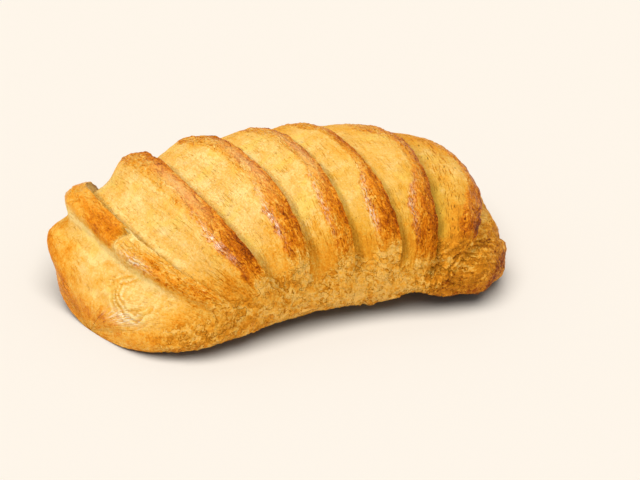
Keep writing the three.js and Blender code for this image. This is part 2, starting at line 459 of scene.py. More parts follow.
@dataclass(frozen=True)
class EndForms:
    """The foot of the narrow end, the broad end's face and corner, and the edges at the floor."""

    foot_run: Span = Span(50.0, 70.0)
    foot_bulge: float = 0.67
    heel: Span = Span(0.30, 0.54)
    front: Span = Span(0.9, 1.2)
    narrow_run: Span = Span(60.0, 70.0)
    narrow_depth: float = 0.6
    cheek_run: Span = Span(60.0, 67.0)
    cheek: Spot = Spot(0.80, 0.12)
    cheek_height: float = 1.83
    toe_run: Span = Span(60.0, 68.0)
    toe: Span = Span(0.42, 0.58)
    toe_draw: float = 1.28
    skirt_run: Span = Span(-30.0, 0.0)
    skirt_end: Span = Span(58.0, 66.0)
    skirt: Spot = Spot(0.368, 0.09)
    skirt_height: float = 1.67
    crease_run: Span = Span(27.0, 40.0)
    crease_length: float = 43.0
    crease_depth: float = 0.9
    crease_width: float = 0.03
    crease_edge: Span = Span(-0.01, 0.05)
    crease_low: float = 0.44
    crease_climb: float = 0.36
    crease_power: float = 1.6
    broad_run: Span = Span(60.0, 70.0)
    broad: Spot = Spot(0.90, 0.22)
    broad_depth: float = 1.0
    corner: Lump = Lump(Spot(-67.44, 2.83), Spot(1.282, 0.113), 3.08)
    shoulder: Lump = Lump(Spot(-59.05, 8.17), Spot(1.192, 0.105), 1.46)
    lifted: Lump = Lump(Spot(33.0, 6.5), Spot(0.25, 0.10), -4.5)

    def crease(self, along: Array) -> Array:
        """Angle at which the crease over the foot runs."""
        run = np.clip((along - self.crease_run.begin) / self.crease_length, 0.0, 1.0)
        return self.crease_low + self.crease_climb * run**self.crease_power

    def height(self, along: Array, angle: Array) -> Array:
        """Height of these forms over the plain roll.

        Args:
            along: Lengths along the spine.
            angle: Angles round the section.

        Returns:
            Heights in millimetres.
        """
        rising = np.minimum(angle, 2.0 - angle)
        crease = self.crease(along)
        below = self.crease_edge.rise(crease - rising)
        front = self.front.fall(angle)
        foot = self.foot_bulge * below * self.heel.rise(rising) * front * self.foot_run.rise(along)
        drawn = self.narrow_depth * (1.0 - below) * self.narrow_run.rise(along)
        fold = self.crease_depth * front * bump(rising, crease, self.crease_width)
        fold = fold * self.crease_run.rise(along)
        face = self.broad_depth * self.broad_run.rise(-along) * self.broad.near(angle)
        cheek = self.cheek_height * self.cheek_run.rise(along) * self.cheek.near(angle)
        toe = self.toe_draw * self.toe_run.rise(along) * self.toe.fall(angle)
        skirt = self.skirt_height * self.skirt.near(angle)
        skirt = skirt * self.skirt_run.rise(along) * self.skirt_end.fall(along)
        lumps = sum(lump.over(along, angle) for lump in (self.corner, self.shoulder, self.lifted))
        return foot - drawn - fold - face + lumps + cheek - toe + skirt


class Tone(Enum):
    """The finish values that the skin carries to its material, one number for each vertex."""

    BROWNING = "browning"
    # olive low in the cuts: partly the dough's colour, partly painted shade of the lips
    FLOOR = "cut_floor"
    SIDE = "flaky_side"
    STRIP = "brown_strip"
    GLOSS = "egg_wash"
    PITS = "pinholes"
    # the wash's coat, and where highlights are painted
    SHINE = "shine"
    # painted sheen: a peachy tint high on the second to fourth strips
    PEACH = "peach"


@dataclass
class Skin:
    """The net of the roll's skin and what is worked out on it, one value for each ring and column."""

    rings: list[Ring]
    angle: Array
    along: Array
    gap: Array
    share: Array
    edge: Array
    out: Array
    past: Array
    straight: Array
    show: Array
    cut_height: Array = field(default_factory=nothing_yet)
    places: Array = field(default_factory=nothing_yet)
    swirl: Array = field(default_factory=nothing_yet)
    stack: Array = field(default_factory=nothing_yet)
    tones: dict[Tone, Array] = field(default_factory=dict)

    @property
    def last_gap(self) -> int:
        """Number of the stretch past the last lip."""
        return self.rings[-1].gap

    @property
    def strip_number(self) -> Array:
        """Number of the strip that each point belongs to or climbs towards."""
        return np.minimum(self.gap, self.last_gap - 1).astype(int)

    @property
    def first(self) -> Array:
        """Whether each point lies before the first lip."""
        return self.gap == 0

    @property
    def opened(self) -> Array:
        """Whether each point lies between two lips."""
        return (self.gap > 0) & (self.gap < self.last_gap)

    @property
    def rising(self) -> Array:
        """Angle from the underside, on either side."""
        return np.minimum(self.angle, 2.0 - self.angle)

    @property
    def z(self) -> Array:
        """Height over the floor."""
        return self.places[..., 2]


@dataclass(frozen=True)
class SkinNet:
    """Lays the rings and columns of the skin over the cut top."""

    columns: int = 270
    under_columns: int = 18
    under_angle: float = 0.22
    broad_rings: int = 58
    first_rings: int = 24
    gap_rings: int = 33
    edge_rings: int = 9
    last_rings: int = 24
    broad_split: float = 0.5
    first_length: float = 11.5
    crowding: float = 3.0

    def rings(self, top: CutTop) -> list[Ring]:
        """The rings in order from the broad end's tip to the narrow end's.

        Args:
            top: The strips that the rings follow.

        Returns:
            The rings, the first and last of which are points.
        """
        found = [Ring(0, s) for s in np.linspace(0.0, self.broad_split, self.broad_rings)[:-1]]
        found += [Ring(0, s) for s in np.linspace(self.broad_split, 1.0, self.first_rings)]
        for gap in range(1, top.count + 1):
            steps = np.arange(1, self.edge_rings + 1) / (self.edge_rings + 1)
            found += [Ring(gap - 1, 1.0, e) for e in steps]
            count = self.last_rings if gap == top.count else self.gap_rings
            found += [Ring(gap, s) for s in np.linspace(0.0, 1.0, count)]
        return found

    def angles(self) -> Array:
        """Angle of each column.

        Returns:
            Angles in half turns, further apart under the roll.
        """
        under = self.under_columns / 2.0
        marks = [0.0, under, self.columns - under, self.columns]
        return np.interp(np.arange(self.columns), marks, [0.0, self.under_angle, 2.0 - self.under_angle, 2.0])

    def lay(self, roll: PlainRoll, top: CutTop) -> Skin:
        """Lays the net.

        Args:
            roll: The plain roll.
            top: The strips and cuts.

        Returns:
            The skin, without its places and tones.
        """
        rings = self.rings(top)
        gap = np.array([r.gap for r in rings])[:, None]
        share = np.array([r.share for r in rings])[:, None]
        edge = np.array([r.edge for r in rings])[:, None]
        angle = self.angles()[None, :]
        before = np.maximum(gap - 1, 0)
        after = np.minimum(gap, top.count - 1)
        shows = [top.show(top.values("end", number), angle) for number in (before, after)]
        show = blend(*shows, share)
        half = roll.half_spine
        lips = np.concatenate([top.lip(k, angle) for k in range(top.count)])
        at = np.array([s.at for s in top.strips])
        begin = lips[before[:, 0]] - top.undercut * show + top.seam * (1.0 - show)
        begin = np.where(gap == 0, -half, begin)
        stop = lips[after[:, 0]] + show * (top.overhang - top.edge_radius)
        stop = np.where(gap == top.count, half, stop)
        tip = np.clip(share / self.broad_split, 0.0, 1.0) ** self.crowding
        broad = begin + (stop - self.first_length - begin) * tip
        parallel = stop - self.first_length * (1.0 - share) / (1.0 - self.broad_split)
        first = np.where(share < self.broad_split, broad, parallel)
        spaced = np.where(gap == top.count, 1.0 - (1.0 - share) ** self.crowding, share)
        along = np.where(gap == 0, first, begin + (stop - begin) * spaced)
        curl = np.clip(edge * 2.0, 0.0, 1.0)
        wall = np.clip(edge * 2.0 - 1.0, 0.0, 1.0)
        radius = top.edge_radius
        offset = top.overhang - radius + radius * np.sin(np.pi * curl)
        offset = np.where(wall > 0.0, blend(top.overhang - radius, -top.undercut, wall), offset)
        under_lip = lips[after[:, 0]] + show * offset + (1.0 - show) * top.seam * edge
        along = np.where(edge > 0.0, under_lip, along)
        out = lips[0][None, :] - along
        past = along - lips[-1][None, :]
        between = at[before] + (at[after] - at[before]) * share
        straight = np.where(gap == 0, at[0] - out, np.where(gap == top.count, at[-1] + past, between))
        whole = [values * np.ones_like(along) for values in (angle, along, gap, share, edge)]
        skin = Skin(rings, *whole, out, past, straight, show)
        skin.cut_height = self.cut_height(top, skin) * show
        return skin

    def cut_height(self, top: CutTop, skin: Skin) -> Array:
        """Height of the strips and cuts over the plain roll.

        Args:
            top: The strips and cuts.
            skin: The net.

        Returns:
            Heights in millimetres, as where the cuts show whole.
        """
        number = skin.gap.astype(int)
        before = np.maximum(number - 1, 0)
        after = skin.strip_number
        drop = top.depth(before, skin.angle)
        uneven = cloud(flat(skin.angle * top.uneven_steps, number * top.uneven_apart), 1.0, depth=2)
        crest = top.rise(after, skin.angle) * (1.0 + top.uneven * uneven)
        climb = (drop + crest) * ease(skin.share, top.values("floor", before), top.crest_share) - drop
        between = climb - top.lip_round * ease(skin.share, top.crest_share, 1.0)
        out = skin.out / blend(1.0, top.first_rear_width, top.behind.rise(skin.angle))
        first = crest * top.first_crest.fall(out) - top.lip_round * top.first_lip.fall(out)
        first = first - top.valley_depth * top.valley_rise.rise(skin.angle) * top.valley.near(out)
        first = first - top.torn_depth * top.torn.near(skin.angle) * top.torn_reach.fall(skin.out)
        last = -drop * top.last_floor.fall(skin.past)
        height = np.where(skin.first, first, np.where(number == top.count, last, between))
        curl = np.clip(skin.edge * 2.0, 0.0, 1.0)
        wall = np.clip(skin.edge * 2.0 - 1.0, 0.0, 1.0)
        lip_top = crest - top.lip_round
        rounding = lip_top - top.edge_radius * (1.0 - np.cos(np.pi * curl))
        down = blend(lip_top - 2.0 * top.edge_radius, -top.depth(after, skin.angle), ease(wall, 0.0, 1.0))
        return np.where(skin.edge > 0.0, np.where(wall > 0.0, down, rounding), height)


@dataclass
class Zones:
    """How far each point of the skin is of each kind of crust, from 0 to 1."""

    strip: Array
    pale: Array
    side: Array
    cushion: Array
    under: Array


@dataclass(frozen=True)
class CrustMap:
    """Where each kind of crust lies: strips, cuts, flaky sides, the broad end's cushion, the underside."""

    ragged_steps: float = 30.0
    ragged_apart: float = 9.3
    band_ragged: float = 0.06
    band_edge: Span = Span(-0.03, 0.035)
    first_ragged: float = 0.35
    first_band: Span = Span(5.6, 6.8)
    pale_lower: float = 0.04
    wobble: float = 0.035
    wobble_length: float = 2.2
    wobble_steps: float = 9.0
    front_edge: Span = Span(-0.055, 0.005)
    rear_edge: Span = Span(1.42, 1.48)
    last_floor: Span = Span(0.8, 2.6)
    lip_edge: Span = Span(0.12, 0.42)
    cushion_run: Span = Span(6.6, 8.4)
    cushion_front: Span = Span(0.50, 0.72)
    cushion_tip: Span = Span(62.0, 70.0)
    cushion_low: Span = Span(6.0, 14.0)
    face_run: Span = Span(63.0, 68.5)
    face_smooth: float = 0.92
    flaky_high: float = 0.12
    flaky_low: float = 0.9
    under: Span = Span(0.14, 0.24)

    def draw(self, skin: Skin, top: CutTop, places: Array) -> Zones:
        """Works out where each kind of crust is.

        Args:
            skin: The net.
            top: The strips and cuts.
            places: Points of the skin without its crags.

        Returns:
            The kinds of crust on the skin.
        """
        angle = skin.angle
        last = skin.gap == top.count
        ragged = cloud(flat(angle * self.ragged_steps, skin.gap * self.ragged_apart), 1.0, depth=3)
        begin = top.band_from(skin.strip_number, angle)
        crest = self.band_edge.rise(skin.share + self.band_ragged * ragged - begin)
        first = self.first_band.fall(skin.out + self.first_ragged * ragged)
        crest = np.where(skin.first, first, np.where(last, 0.0, crest))
        end = top.values("end", skin.strip_number) - self.pale_lower * (1.0 - crest)
        line = flat(skin.straight / self.wobble_length, angle * self.wobble_steps)
        ragged_angle = angle + self.wobble * cloud(line, 1.0, depth=3)
        shown = self.front_edge.rise(ragged_angle - end) * self.rear_edge.fall(ragged_angle)
        shown = shown * np.where(last, self.last_floor.fall(skin.past), 1.0)
        crest = crest * self.lip_edge.fall(skin.edge)
        cushion = np.where(skin.first, self.cushion_run.rise(skin.out), 0.0)
        cushion = cushion * np.maximum(self.cushion_front.rise(angle), self.cushion_tip.rise(-skin.along))
        smooth = 1.0 - self.face_smooth * self.face_run.rise(-skin.along)
        low = self.cushion_low.fall(places[..., 2]) * smooth
        side = (1.0 - shown) * (1.0 - cushion) + cushion * blend(self.flaky_high, self.flaky_low, low)
        pale = (1.0 - crest) * shown * (1.0 - cushion)
        return Zones(crest * shown, pale, side, cushion, self.under.fall(skin.rising))


@dataclass(frozen=True)
class Folds:
    """Faint rolled-up folds on an end's face, in millimetres."""

    centre: Place
    stretch: Place
    facing: float
    pitch: float = 2.3
    upright: float = 1.3
    wander: float = 0.55
    wander_size: float = 4.0
    inner: Span = Span(2.0, 6.0)
    outer: Span = Span(9.1, 13.0)
    patch_size: float = 6.0
    patches: Span = Span(-0.7, 0.0)

    def height(self, places: Array) -> Array:
        """Heights of the folds.

        Args:
            places: Points of the skin.

        Returns:
            Heights from about -0.45 to 0.4.
        """
        away = (places - np.array(self.centre)) * np.array(self.stretch)
        distance = np.linalg.norm(away, axis=-1)
        bearing = np.arctan2(away[..., 2] * self.upright, away[..., 0] + self.facing * away[..., 1])
        wander = self.wander * cloud(places, self.wander_size, depth=2, shift=14.0)
        fold = shingles(distance / self.pitch - bearing / (2.0 * np.pi) + wander)
        patchy = self.patches.rise(cloud(places, self.patch_size, shift=8.8))
        return fold * self.inner.rise(distance) * self.outer.fall(distance) * patchy


@dataclass(frozen=True)
class CrustRelief:
    """Crags, flakes, wrinkles and folds of the crust, in millimetres."""

    kinds: CrustMap = CrustMap()
    girth: float = 104.0
    pole_fade: Span = Span(0.0, 0.8)
    warp_size: float = 5.0
    warp_reach: float = 1.6
    warp_shifts: Place = (3.0, 9.0, 17.0)
    lump_size: float = 9.0
    lump_side: float = 0.55
    lump_top: float = 0.3
    plate_size: float = 4.6
    plate_shape: Place = (0.8, 1.0, 1.5)
    plate_on_side: float = 0.42
    plate_on_strip: float = 0.15
    plate_on_cushion: float = 0.2
    flake_size: float = 9.0
    flake_steps: float = 5.0
    flake_on_side: float = 0.5
    flake_on_cushion: float = 0.25
    wrinkle_length: float = 8.0
    wrinkle_width: float = 1.9
    wrinkle_slope: float = 2.2
    wrinkle_height: float = 0.28
    streak_scale: float = 0.45
    streak_steps: float = 3.4
    streak_height: float = 0.22
    blister_size: float = 2.6
    blister_on_strip: float = 0.2
    blister_on_pale: float = 0.1
    layer_length: float = 17.0
    layer_width: float = 1.3
    layer_height: float = 0.12
    calm: float = 0.6
    calm_run: Span = Span(60.0, 70.0)
    stack_pitch: float = 3.4
    stack_size: float = 5.0
    stack_wander: float = 1.5
    stack_run: Span = Span(26.0, 44.0)
    stack_over: Spot = Spot(-2.0, 13.0)
    stack_height: float = 1.0
    broad_folds: Folds = Folds((-60.1, -25.9, 18.5), (1.0, 1.0, 1.0), -1.0)
    narrow_folds: Folds = Folds((69.5, -6.0, 12.0), (1.0, 0.55, 1.15), 1.0)
    fold_depth: float = 0.8
    rim_run: Span = Span(62.0, 70.0)
    ridge: Spot = Spot(6.0, 3.0)
    ridge_height: float = 0.4
    groove: Spot = Spot(12.0, 2.4)
    groove_depth: float = 0.3
    fray: Spot = Spot(1.6, 2.4)
    fray_size: float = 2.4
    fray_height: float = 0.7
    flap: Lump = Lump(Spot(16.8, 2.0), Spot(0.29, 0.035), 1.0)

    def apply(self, skin: Skin, roll: PlainRoll, top: CutTop, ends: EndForms) -> Zones:
        """Works out the skin's places.

        Args:
            skin: The net, which gets its places.
            roll: The plain roll.
            top: The strips and cuts.
            ends: The forms of the two ends.

        Returns:
            The kinds of crust on the skin.
        """
        plain = roll.point(skin.along, skin.angle)
        outward = roll.outward(skin.along, skin.angle)
        fade = self.pole_fade.rise(roll.half_spine - np.abs(skin.along))
        forms = (skin.cut_height + ends.height(skin.along, skin.angle)) * fade
        coarse = plain + outward * forms[..., None]
        zones = self.kinds.draw(skin, top, coarse)
        skin.stack = zones.side * (self.layers(skin, coarse, ends) + self.narrow_folds.height(coarse))
        skin.swirl = zones.cushion * self.broad_folds.height(coarse)
        relief = self.crags(skin, zones, coarse) * fade
        skin.places = coarse + outward * relief[..., None]
        skin.places[..., 2] = np.maximum(skin.places[..., 2], 0.0)
        return zones

    def crags(self, skin: Skin, zones: Zones, places: Array) -> Array:
        """Height of the crags, flakes and wrinkles.

        Args:
            skin: The net, with its layers and folds.
            zones: The kinds of crust on it.
            places: Points of the skin without its crags.

        Returns:
            Heights in millimetres.
        """
        warp = [cloud(places, self.warp_size, depth=2, shift=shift) for shift in self.warp_shifts]
        bent = places + self.warp_reach * np.stack(warp, axis=-1)
        plate = plates(bent * np.array(self.plate_shape), self.plate_size)
        flake = shingles(self.flake_steps * cloud(bent, self.flake_size, depth=2, shift=4.4))
        lump = cloud(places, self.lump_size, depth=2, shift=1.7)
        blister = cloud(places, self.blister_size, depth=2, shift=6.1)
        girth = (skin.angle - 1.0) * self.girth
        strand = flat(girth / self.wrinkle_length, skin.straight / self.wrinkle_width)
        wrinkle = 0.5 - self.wrinkle_slope * np.abs(cloud(strand, 1.0, depth=2))
        streak = shingles(self.streak_steps * cloud(self.streak_scale * strand, 1.0, depth=3, shift=3.3))
        sheet = flat(girth / self.layer_length, skin.straight / self.layer_width)
        layer = cloud(sheet, 1.0, depth=2, shift=2.2)
        on_side = self.plate_on_side * plate + self.flake_on_side * flake
        on_strip = self.wrinkle_height * wrinkle + self.blister_on_strip * blister
        on_strip = on_strip + self.plate_on_strip * plate + self.streak_height * streak
        on_pale = self.layer_height * layer + self.blister_on_pale * blister
        on_cushion = (1.0 - zones.side) * (self.plate_on_cushion * plate + self.flake_on_cushion * flake)
        height = lump * blend(self.lump_top, self.lump_side, zones.side) + zones.side * on_side
        height = height + zones.strip * on_strip + zones.pale * on_pale + zones.cushion * on_cushion
        height = height + self.stack_height * skin.stack
        height = height * (1.0 - self.calm * self.calm_run.rise(np.abs(skin.along)))
        height = height + self.fold_depth * skin.swirl + zones.cushion * self.rim(skin, places)
        frayed = cloud(places, self.fray_size, depth=2, shift=27.0) * self.fray.near(places[..., 2])
        height = height + zones.side * self.fray_height * frayed
        return height * (1.0 - zones.under) + self.flap.over(skin.along, skin.angle)

    def layers(self, skin: Skin, places: Array, ends: EndForms) -> Array:
        """Layers of dough that lie along the crease over the narrow end's foot.

        Args:
            skin: The net.
            places: Points of the skin.
            ends: The forms of the two ends.

        Returns:
            Heights of the layers, from about -0.5 to 0.5.
        """
        over = (skin.rising - ends.crease(skin.along)) * self.girth
        wander = self.stack_wander * cloud(places, self.stack_size, depth=3, shift=19.0)
        level = over / self.stack_pitch + wander
        return shingles(level) * self.stack_run.rise(skin.along) * self.stack_over.near(over)

    def rim(self, skin: Skin, places: Array) -> Array:
        """The broad end's raised lower rim and the groove over it.

        Args:
            skin: The net.
            places: Points of the skin.

        Returns:
            Heights of the rim.
        """
        z = places[..., 2]
        ridge = self.ridge_height * self.ridge.near(z)
        return (ridge - self.groove_depth * self.groove.near(z)) * self.rim_run.rise(-skin.along)


@dataclass(frozen=True)
class CutBaking:
    """Browning of the opened cuts: more at the rear, at the cuts' ends and towards the narrow end, with
    painted warm shade low under each lip.
    """

    gold: float = 0.045
    rear: float = 0.30
    rear_rise: Span = Span(1.03, 1.15)
    rear_run: Span = Span(-40.0, 10.0)
    rear_left: float = 0.35
    rear_right: float = 0.8
    end: float = 0.36
    end_fall: Span = Span(0.58, 0.79)
    first: float = 0.05
    first_fall: Span = Span(0.72, 0.92)
    right: float = 0.13
    right_run: Span = Span(-15.0, 40.0)
    last: float = 0.17
    last_run: Span = Span(38.0, 48.0)
    high: Span = Span(0.84, 0.96)
    high_loss: float = 0.7
    trough_shade: float = 0.20
    trough_shade_fall: Span = Span(0.04, 0.2)
    trough_shade_first: float = 0.5

    def browning(self, skin: Skin) -> Array:
        """How brown each point would be in a cut.

        Args:
            skin: The net.

        Returns:
            Values from pale dough to golden, with painted shade in the hollow under each lip.
        """
        rear = self.rear * self.rear_rise.rise(skin.angle)
        rear = rear * blend(self.rear_left, self.rear_right, self.rear_run.rise(skin.along))
        end = self.end * self.end_fall.fall(skin.angle)
        end = end + self.first * (skin.gap == 1) * self.first_fall.fall(skin.angle)
        last = self.last * self.last_run.rise(skin.along)
        last = last * (1.0 - self.high_loss * self.high.rise(skin.angle))
        right = self.right * self.right_run.rise(skin.along) + last
        # painted warm shade in the hollow under each lip, weaker in the first cut
        trough_shade = np.where(skin.opened, self.trough_shade * self.trough_shade_fall.fall(skin.share), 0.0)
        trough_shade = trough_shade * np.where(skin.gap == 1, self.trough_shade_first, 1.0)
        return self.gold + rear + end + right + trough_shade


@dataclass(frozen=True)
class StripBaking:
    """Browning of the strips: darker low down and near the lip, paler below the first strip's tear."""

    low: Span = Span(0.13, 0.35)
    rear_top: float = 0.42
    rear_low: float = 0.62
    rear_fall: Span = Span(1.20, 1.40)
    rear_rise: Span = Span(1.02, 1.16)
    torn_top: float = 0.27
    torn_low: float = 0.48
    torn_fall: Span = Span(0.02, 0.24)
    torn_edge: Span = Span(-0.006, 0.006)
    lip: float = 0.16
    lip_from: float = 0.3
    lip_full: float = 0.97
    line: float = 0.10
    line_rise: Span = Span(0.93, 0.98)
    first_line: Span = Span(0.4, 2.4)
    lip_show: Span = Span(0.60, 0.70)

    def browning(self, skin: Skin, top: CutTop) -> Array:
        """How brown each point would be on a strip.

        Args:
            skin: The net.
            top: The strips, each with its own browning.

        Returns:
            Values from orange to dark brown.
        """
        number = skin.strip_number
        low = self.low.rise(1.0 - skin.angle)
        front = blend(top.values("upper_brown", number), top.values("lower_brown", number), low)
        over_tear = skin.angle - top.torn.centre
        torn = blend(self.torn_top, self.torn_low, self.torn_fall.rise(-over_tear))
        torn = blend(torn, front, self.torn_edge.rise(over_tear))
        front = np.where(skin.first, torn, front)
        rear = blend(self.rear_top, self.rear_low, self.rear_fall.rise(skin.angle))
        brown = blend(front, rear, self.rear_rise.rise(skin.angle))
        begin = blend(top.band_from(number, skin.angle), 1.0, self.lip_from)
        near = np.where(skin.first, 0.0, ease(skin.share, begin, self.lip_full))
        # the first strip is painted paler near its lip, painted light against its overhang's shade; the
        # others get a darker line at the lip
        line = np.where(skin.first, -self.first_line.fall(skin.out), self.line_rise.rise(skin.share))
        return brown + (self.lip * near + self.line * line) * self.lip_show.rise(skin.angle)


@dataclass(frozen=True)
class SideBaking:
    """Browning of the flaky sides and of the narrow end's foot, up to reddish brown at its edge."""

    tan: float = 0.33
    tan_left: float = 0.11
    left_run: Span = Span(10.0, 50.0)
    foot: float = 0.53
    foot_low: float = 0.74
    foot_rise: Span = Span(0.40, 0.54)
    foot_run: Span = Span(30.0, 46.0)
    tip: float = 0.57
    tip_run: Span = Span(56.0, 66.0)
    cheek: float = 0.28
    cheek_past: Spot = Spot(2.8, 2.4)
    cheek_rise: Span = Span(0.66, 0.76)
    cheek_end: Span = Span(1.0, 1.1)
    edge: float = 0.88
    edge_at: float = 64.4
    edge_angle: float = 0.575
    edge_slope: float = 30.0
    edge_begin: Span = Span(-0.8, 1.4)
    edge_end: Span = Span(4.5, 7.5)
    edge_top: Span = Span(0.66, 0.74)
    stack: float = 0.44

    def browning(self, skin: Skin) -> Array:
        """How brown each point would be on a side.

        Args:
            skin: The net.

        Returns:
            Values from tan to reddish brown, paler on the edges of the layers.
        """
        tan = self.tan + self.tan_left * self.left_run.rise(-skin.along)
        foot = blend(self.foot_low, self.foot, self.foot_rise.rise(skin.angle))
        value = blend(tan, foot, self.foot_run.rise(skin.along))
        value = blend(value, self.tip, self.tip_run.rise(skin.along))
        cheek = self.cheek_rise.rise(skin.angle) * self.cheek_end.fall(skin.angle)
        value = blend(value, self.cheek, self.cheek_past.near(skin.past) * cheek)
        edge = skin.along - self.edge_at - self.edge_slope * (skin.angle - self.edge_angle)
        edge = self.edge_begin.rise(edge) * self.edge_end.fall(edge) * self.edge_top.fall(skin.angle)
        # layer edges paler and hollows darker: pale edges with painted highlight, and painted shade in the
        # hollows
        return blend(value, self.edge, edge) - self.stack * skin.stack


@dataclass(frozen=True)
class BroadBaking:
    """Browning of the broad end: golden and mottled, with a browned rim, flank and corner."""

    face: float = 0.12
    rim: float = 0.50
    rim_run: Span = Span(56.0, 66.0)
    low: Span = Span(6.5, 14.0)
    front_low: float = 0.66
    front_rise: Span = Span(0.55, 0.72)
    rear_rise: Span = Span(1.11, 1.20)
    flank_rise: Span = Span(0.98, 1.14)
    flank_top: Span = Span(20.0, 27.0)
    rear_share: float = 0.6
    corner: float = 0.56
    corner_angle: Spot = Spot(1.28, 0.07)
    corner_run: Span = Span(64.0, 69.0)
    mottle: float = 0.12
    mottle_size: float = 3.2
    fine_size: float = 1.2
    fine_share: float = 0.7
    swirl: float = 0.50

    def browning(self, skin: Skin) -> Array:
        """How brown each point would be on the broad end.

        Args:
            skin: The net with its places and folds.

        Returns:
            Values from golden to brown, paler on the edges of the folds.
        """
        low = self.low.fall(skin.z) * blend(self.front_low, 1.0, self.front_rise.rise(skin.angle))
        flank = self.flank_rise.rise(skin.angle) * self.flank_top.fall(skin.z)
        rear = np.maximum(self.rear_rise.rise(skin.angle), flank)
        rim = np.maximum(low, self.rear_share * rear) * self.rim_run.rise(-skin.along)
        corner = self.corner_angle.near(skin.angle) * self.corner_run.rise(-skin.along)
        mottle = cloud(skin.places, self.mottle_size, depth=3, shift=31.0)
        mottle = mottle + self.fine_share * cloud(skin.places, self.fine_size, depth=2, shift=35.0)
        value = blend(blend(self.face, self.rim, rim), self.corner, corner)
        # fold edges paler and grooves darker: pale fold edges with painted highlight, and painted shade in
        # the grooves
        return value + self.mottle * mottle - self.swirl * skin.swirl


@dataclass(frozen=True)
class EggWash:
    """The dried egg wash: where it is smooth, where it shines with painted highlights, and where a peachy
    sheen is painted.
    """

    strip: float = 0.55
    first_strip: float = 0.8
    cushion: Spot = Spot(10.0, 5.0)
    rim_level: Spot = Spot(10.5, 2.0)
    rim_angle: Spot = Spot(0.67, 0.09)
    rim_run: Span = Span(64.0, 69.0)
    folds: float = 0.4
    fold_rise: Span = Span(0.08, 0.3)
    first_out: Spot = Spot(4.8, 0.9)
    first_angle: Spot = Spot(0.845, 0.05)
    shoulder: float = 0.55
    shoulder_from: float = 0.12
    shoulder_width: float = 0.06
    shoulder_angle: Spot = Spot(0.76, 0.09)
    fifth: float = 0.6
    fifth_gap: int = 4
    fifth_share: Spot = Spot(0.55, 0.05)
    fifth_angle: Spot = Spot(0.69, 0.05)
    sheen_gaps: int = 3
    sheen_from: float = 0.6
    sheen_width: float = 0.09
    sheen_angle: Spot = Spot(0.955, 0.11)

    def gloss(self, skin: Skin, zones: Zones) -> Array:
        """Where the crust is smooth with wash: on the strips and on the broad end's rim."""
        strips = zones.strip * np.where(skin.first, self.first_strip, self.strip)
        return np.maximum(strips, zones.cushion * self.cushion.near(skin.z))

    def shine(self, skin: Skin, zones: Zones, top: CutTop) -> Array:
        """Where the wash shines, with painted highlights besides its coat: on the broad end's rim and folds
        and on the strips' left shoulders.

        Args:
            skin: The net.
            zones: The kinds of crust on it.
            top: The strips and cuts.

        Returns:
            Shares from 0 to about 1.
        """
        rim = zones.cushion * self.rim_level.near(skin.z) * self.rim_angle.near(skin.angle)
        rim = rim * self.rim_run.rise(-skin.along)
        folds = self.folds * zones.cushion * self.fold_rise.rise(skin.swirl)
        first = skin.first * self.first_out.near(skin.out) * self.first_angle.near(skin.angle)
        begin = blend(top.band_from(skin.strip_number, skin.angle), 1.0, self.shoulder_from)
        shoulder = bump(skin.share, begin, self.shoulder_width) * self.shoulder_angle.near(skin.angle)
        shoulder = shoulder * zones.strip * (skin.gap > 0) * (skin.gap < top.count - 1)
        fifth = self.fifth_share.near(skin.share) * self.fifth_angle.near(skin.angle)
        fifth = fifth * (skin.gap == self.fifth_gap)
        return rim + folds + first + self.shoulder * shoulder + self.fifth * fifth

    def peach(self, skin: Skin, zones: Zones, top: CutTop) -> Array:
        """Where a peachy sheen is painted on the second to fourth strips: high up, between their two edges.

        Args:
            skin: The net.
            zones: The kinds of crust on it.
            top: The strips and cuts.

        Returns:
            Shares from 0 to 1.
        """
        middle = blend(top.band_from(skin.strip_number, skin.angle), 1.0, self.sheen_from)
        found = bump(skin.share, middle, self.sheen_width) * self.sheen_angle.near(skin.angle)
        return found * zones.strip * (skin.gap > 0) * (skin.gap <= self.sheen_gaps)


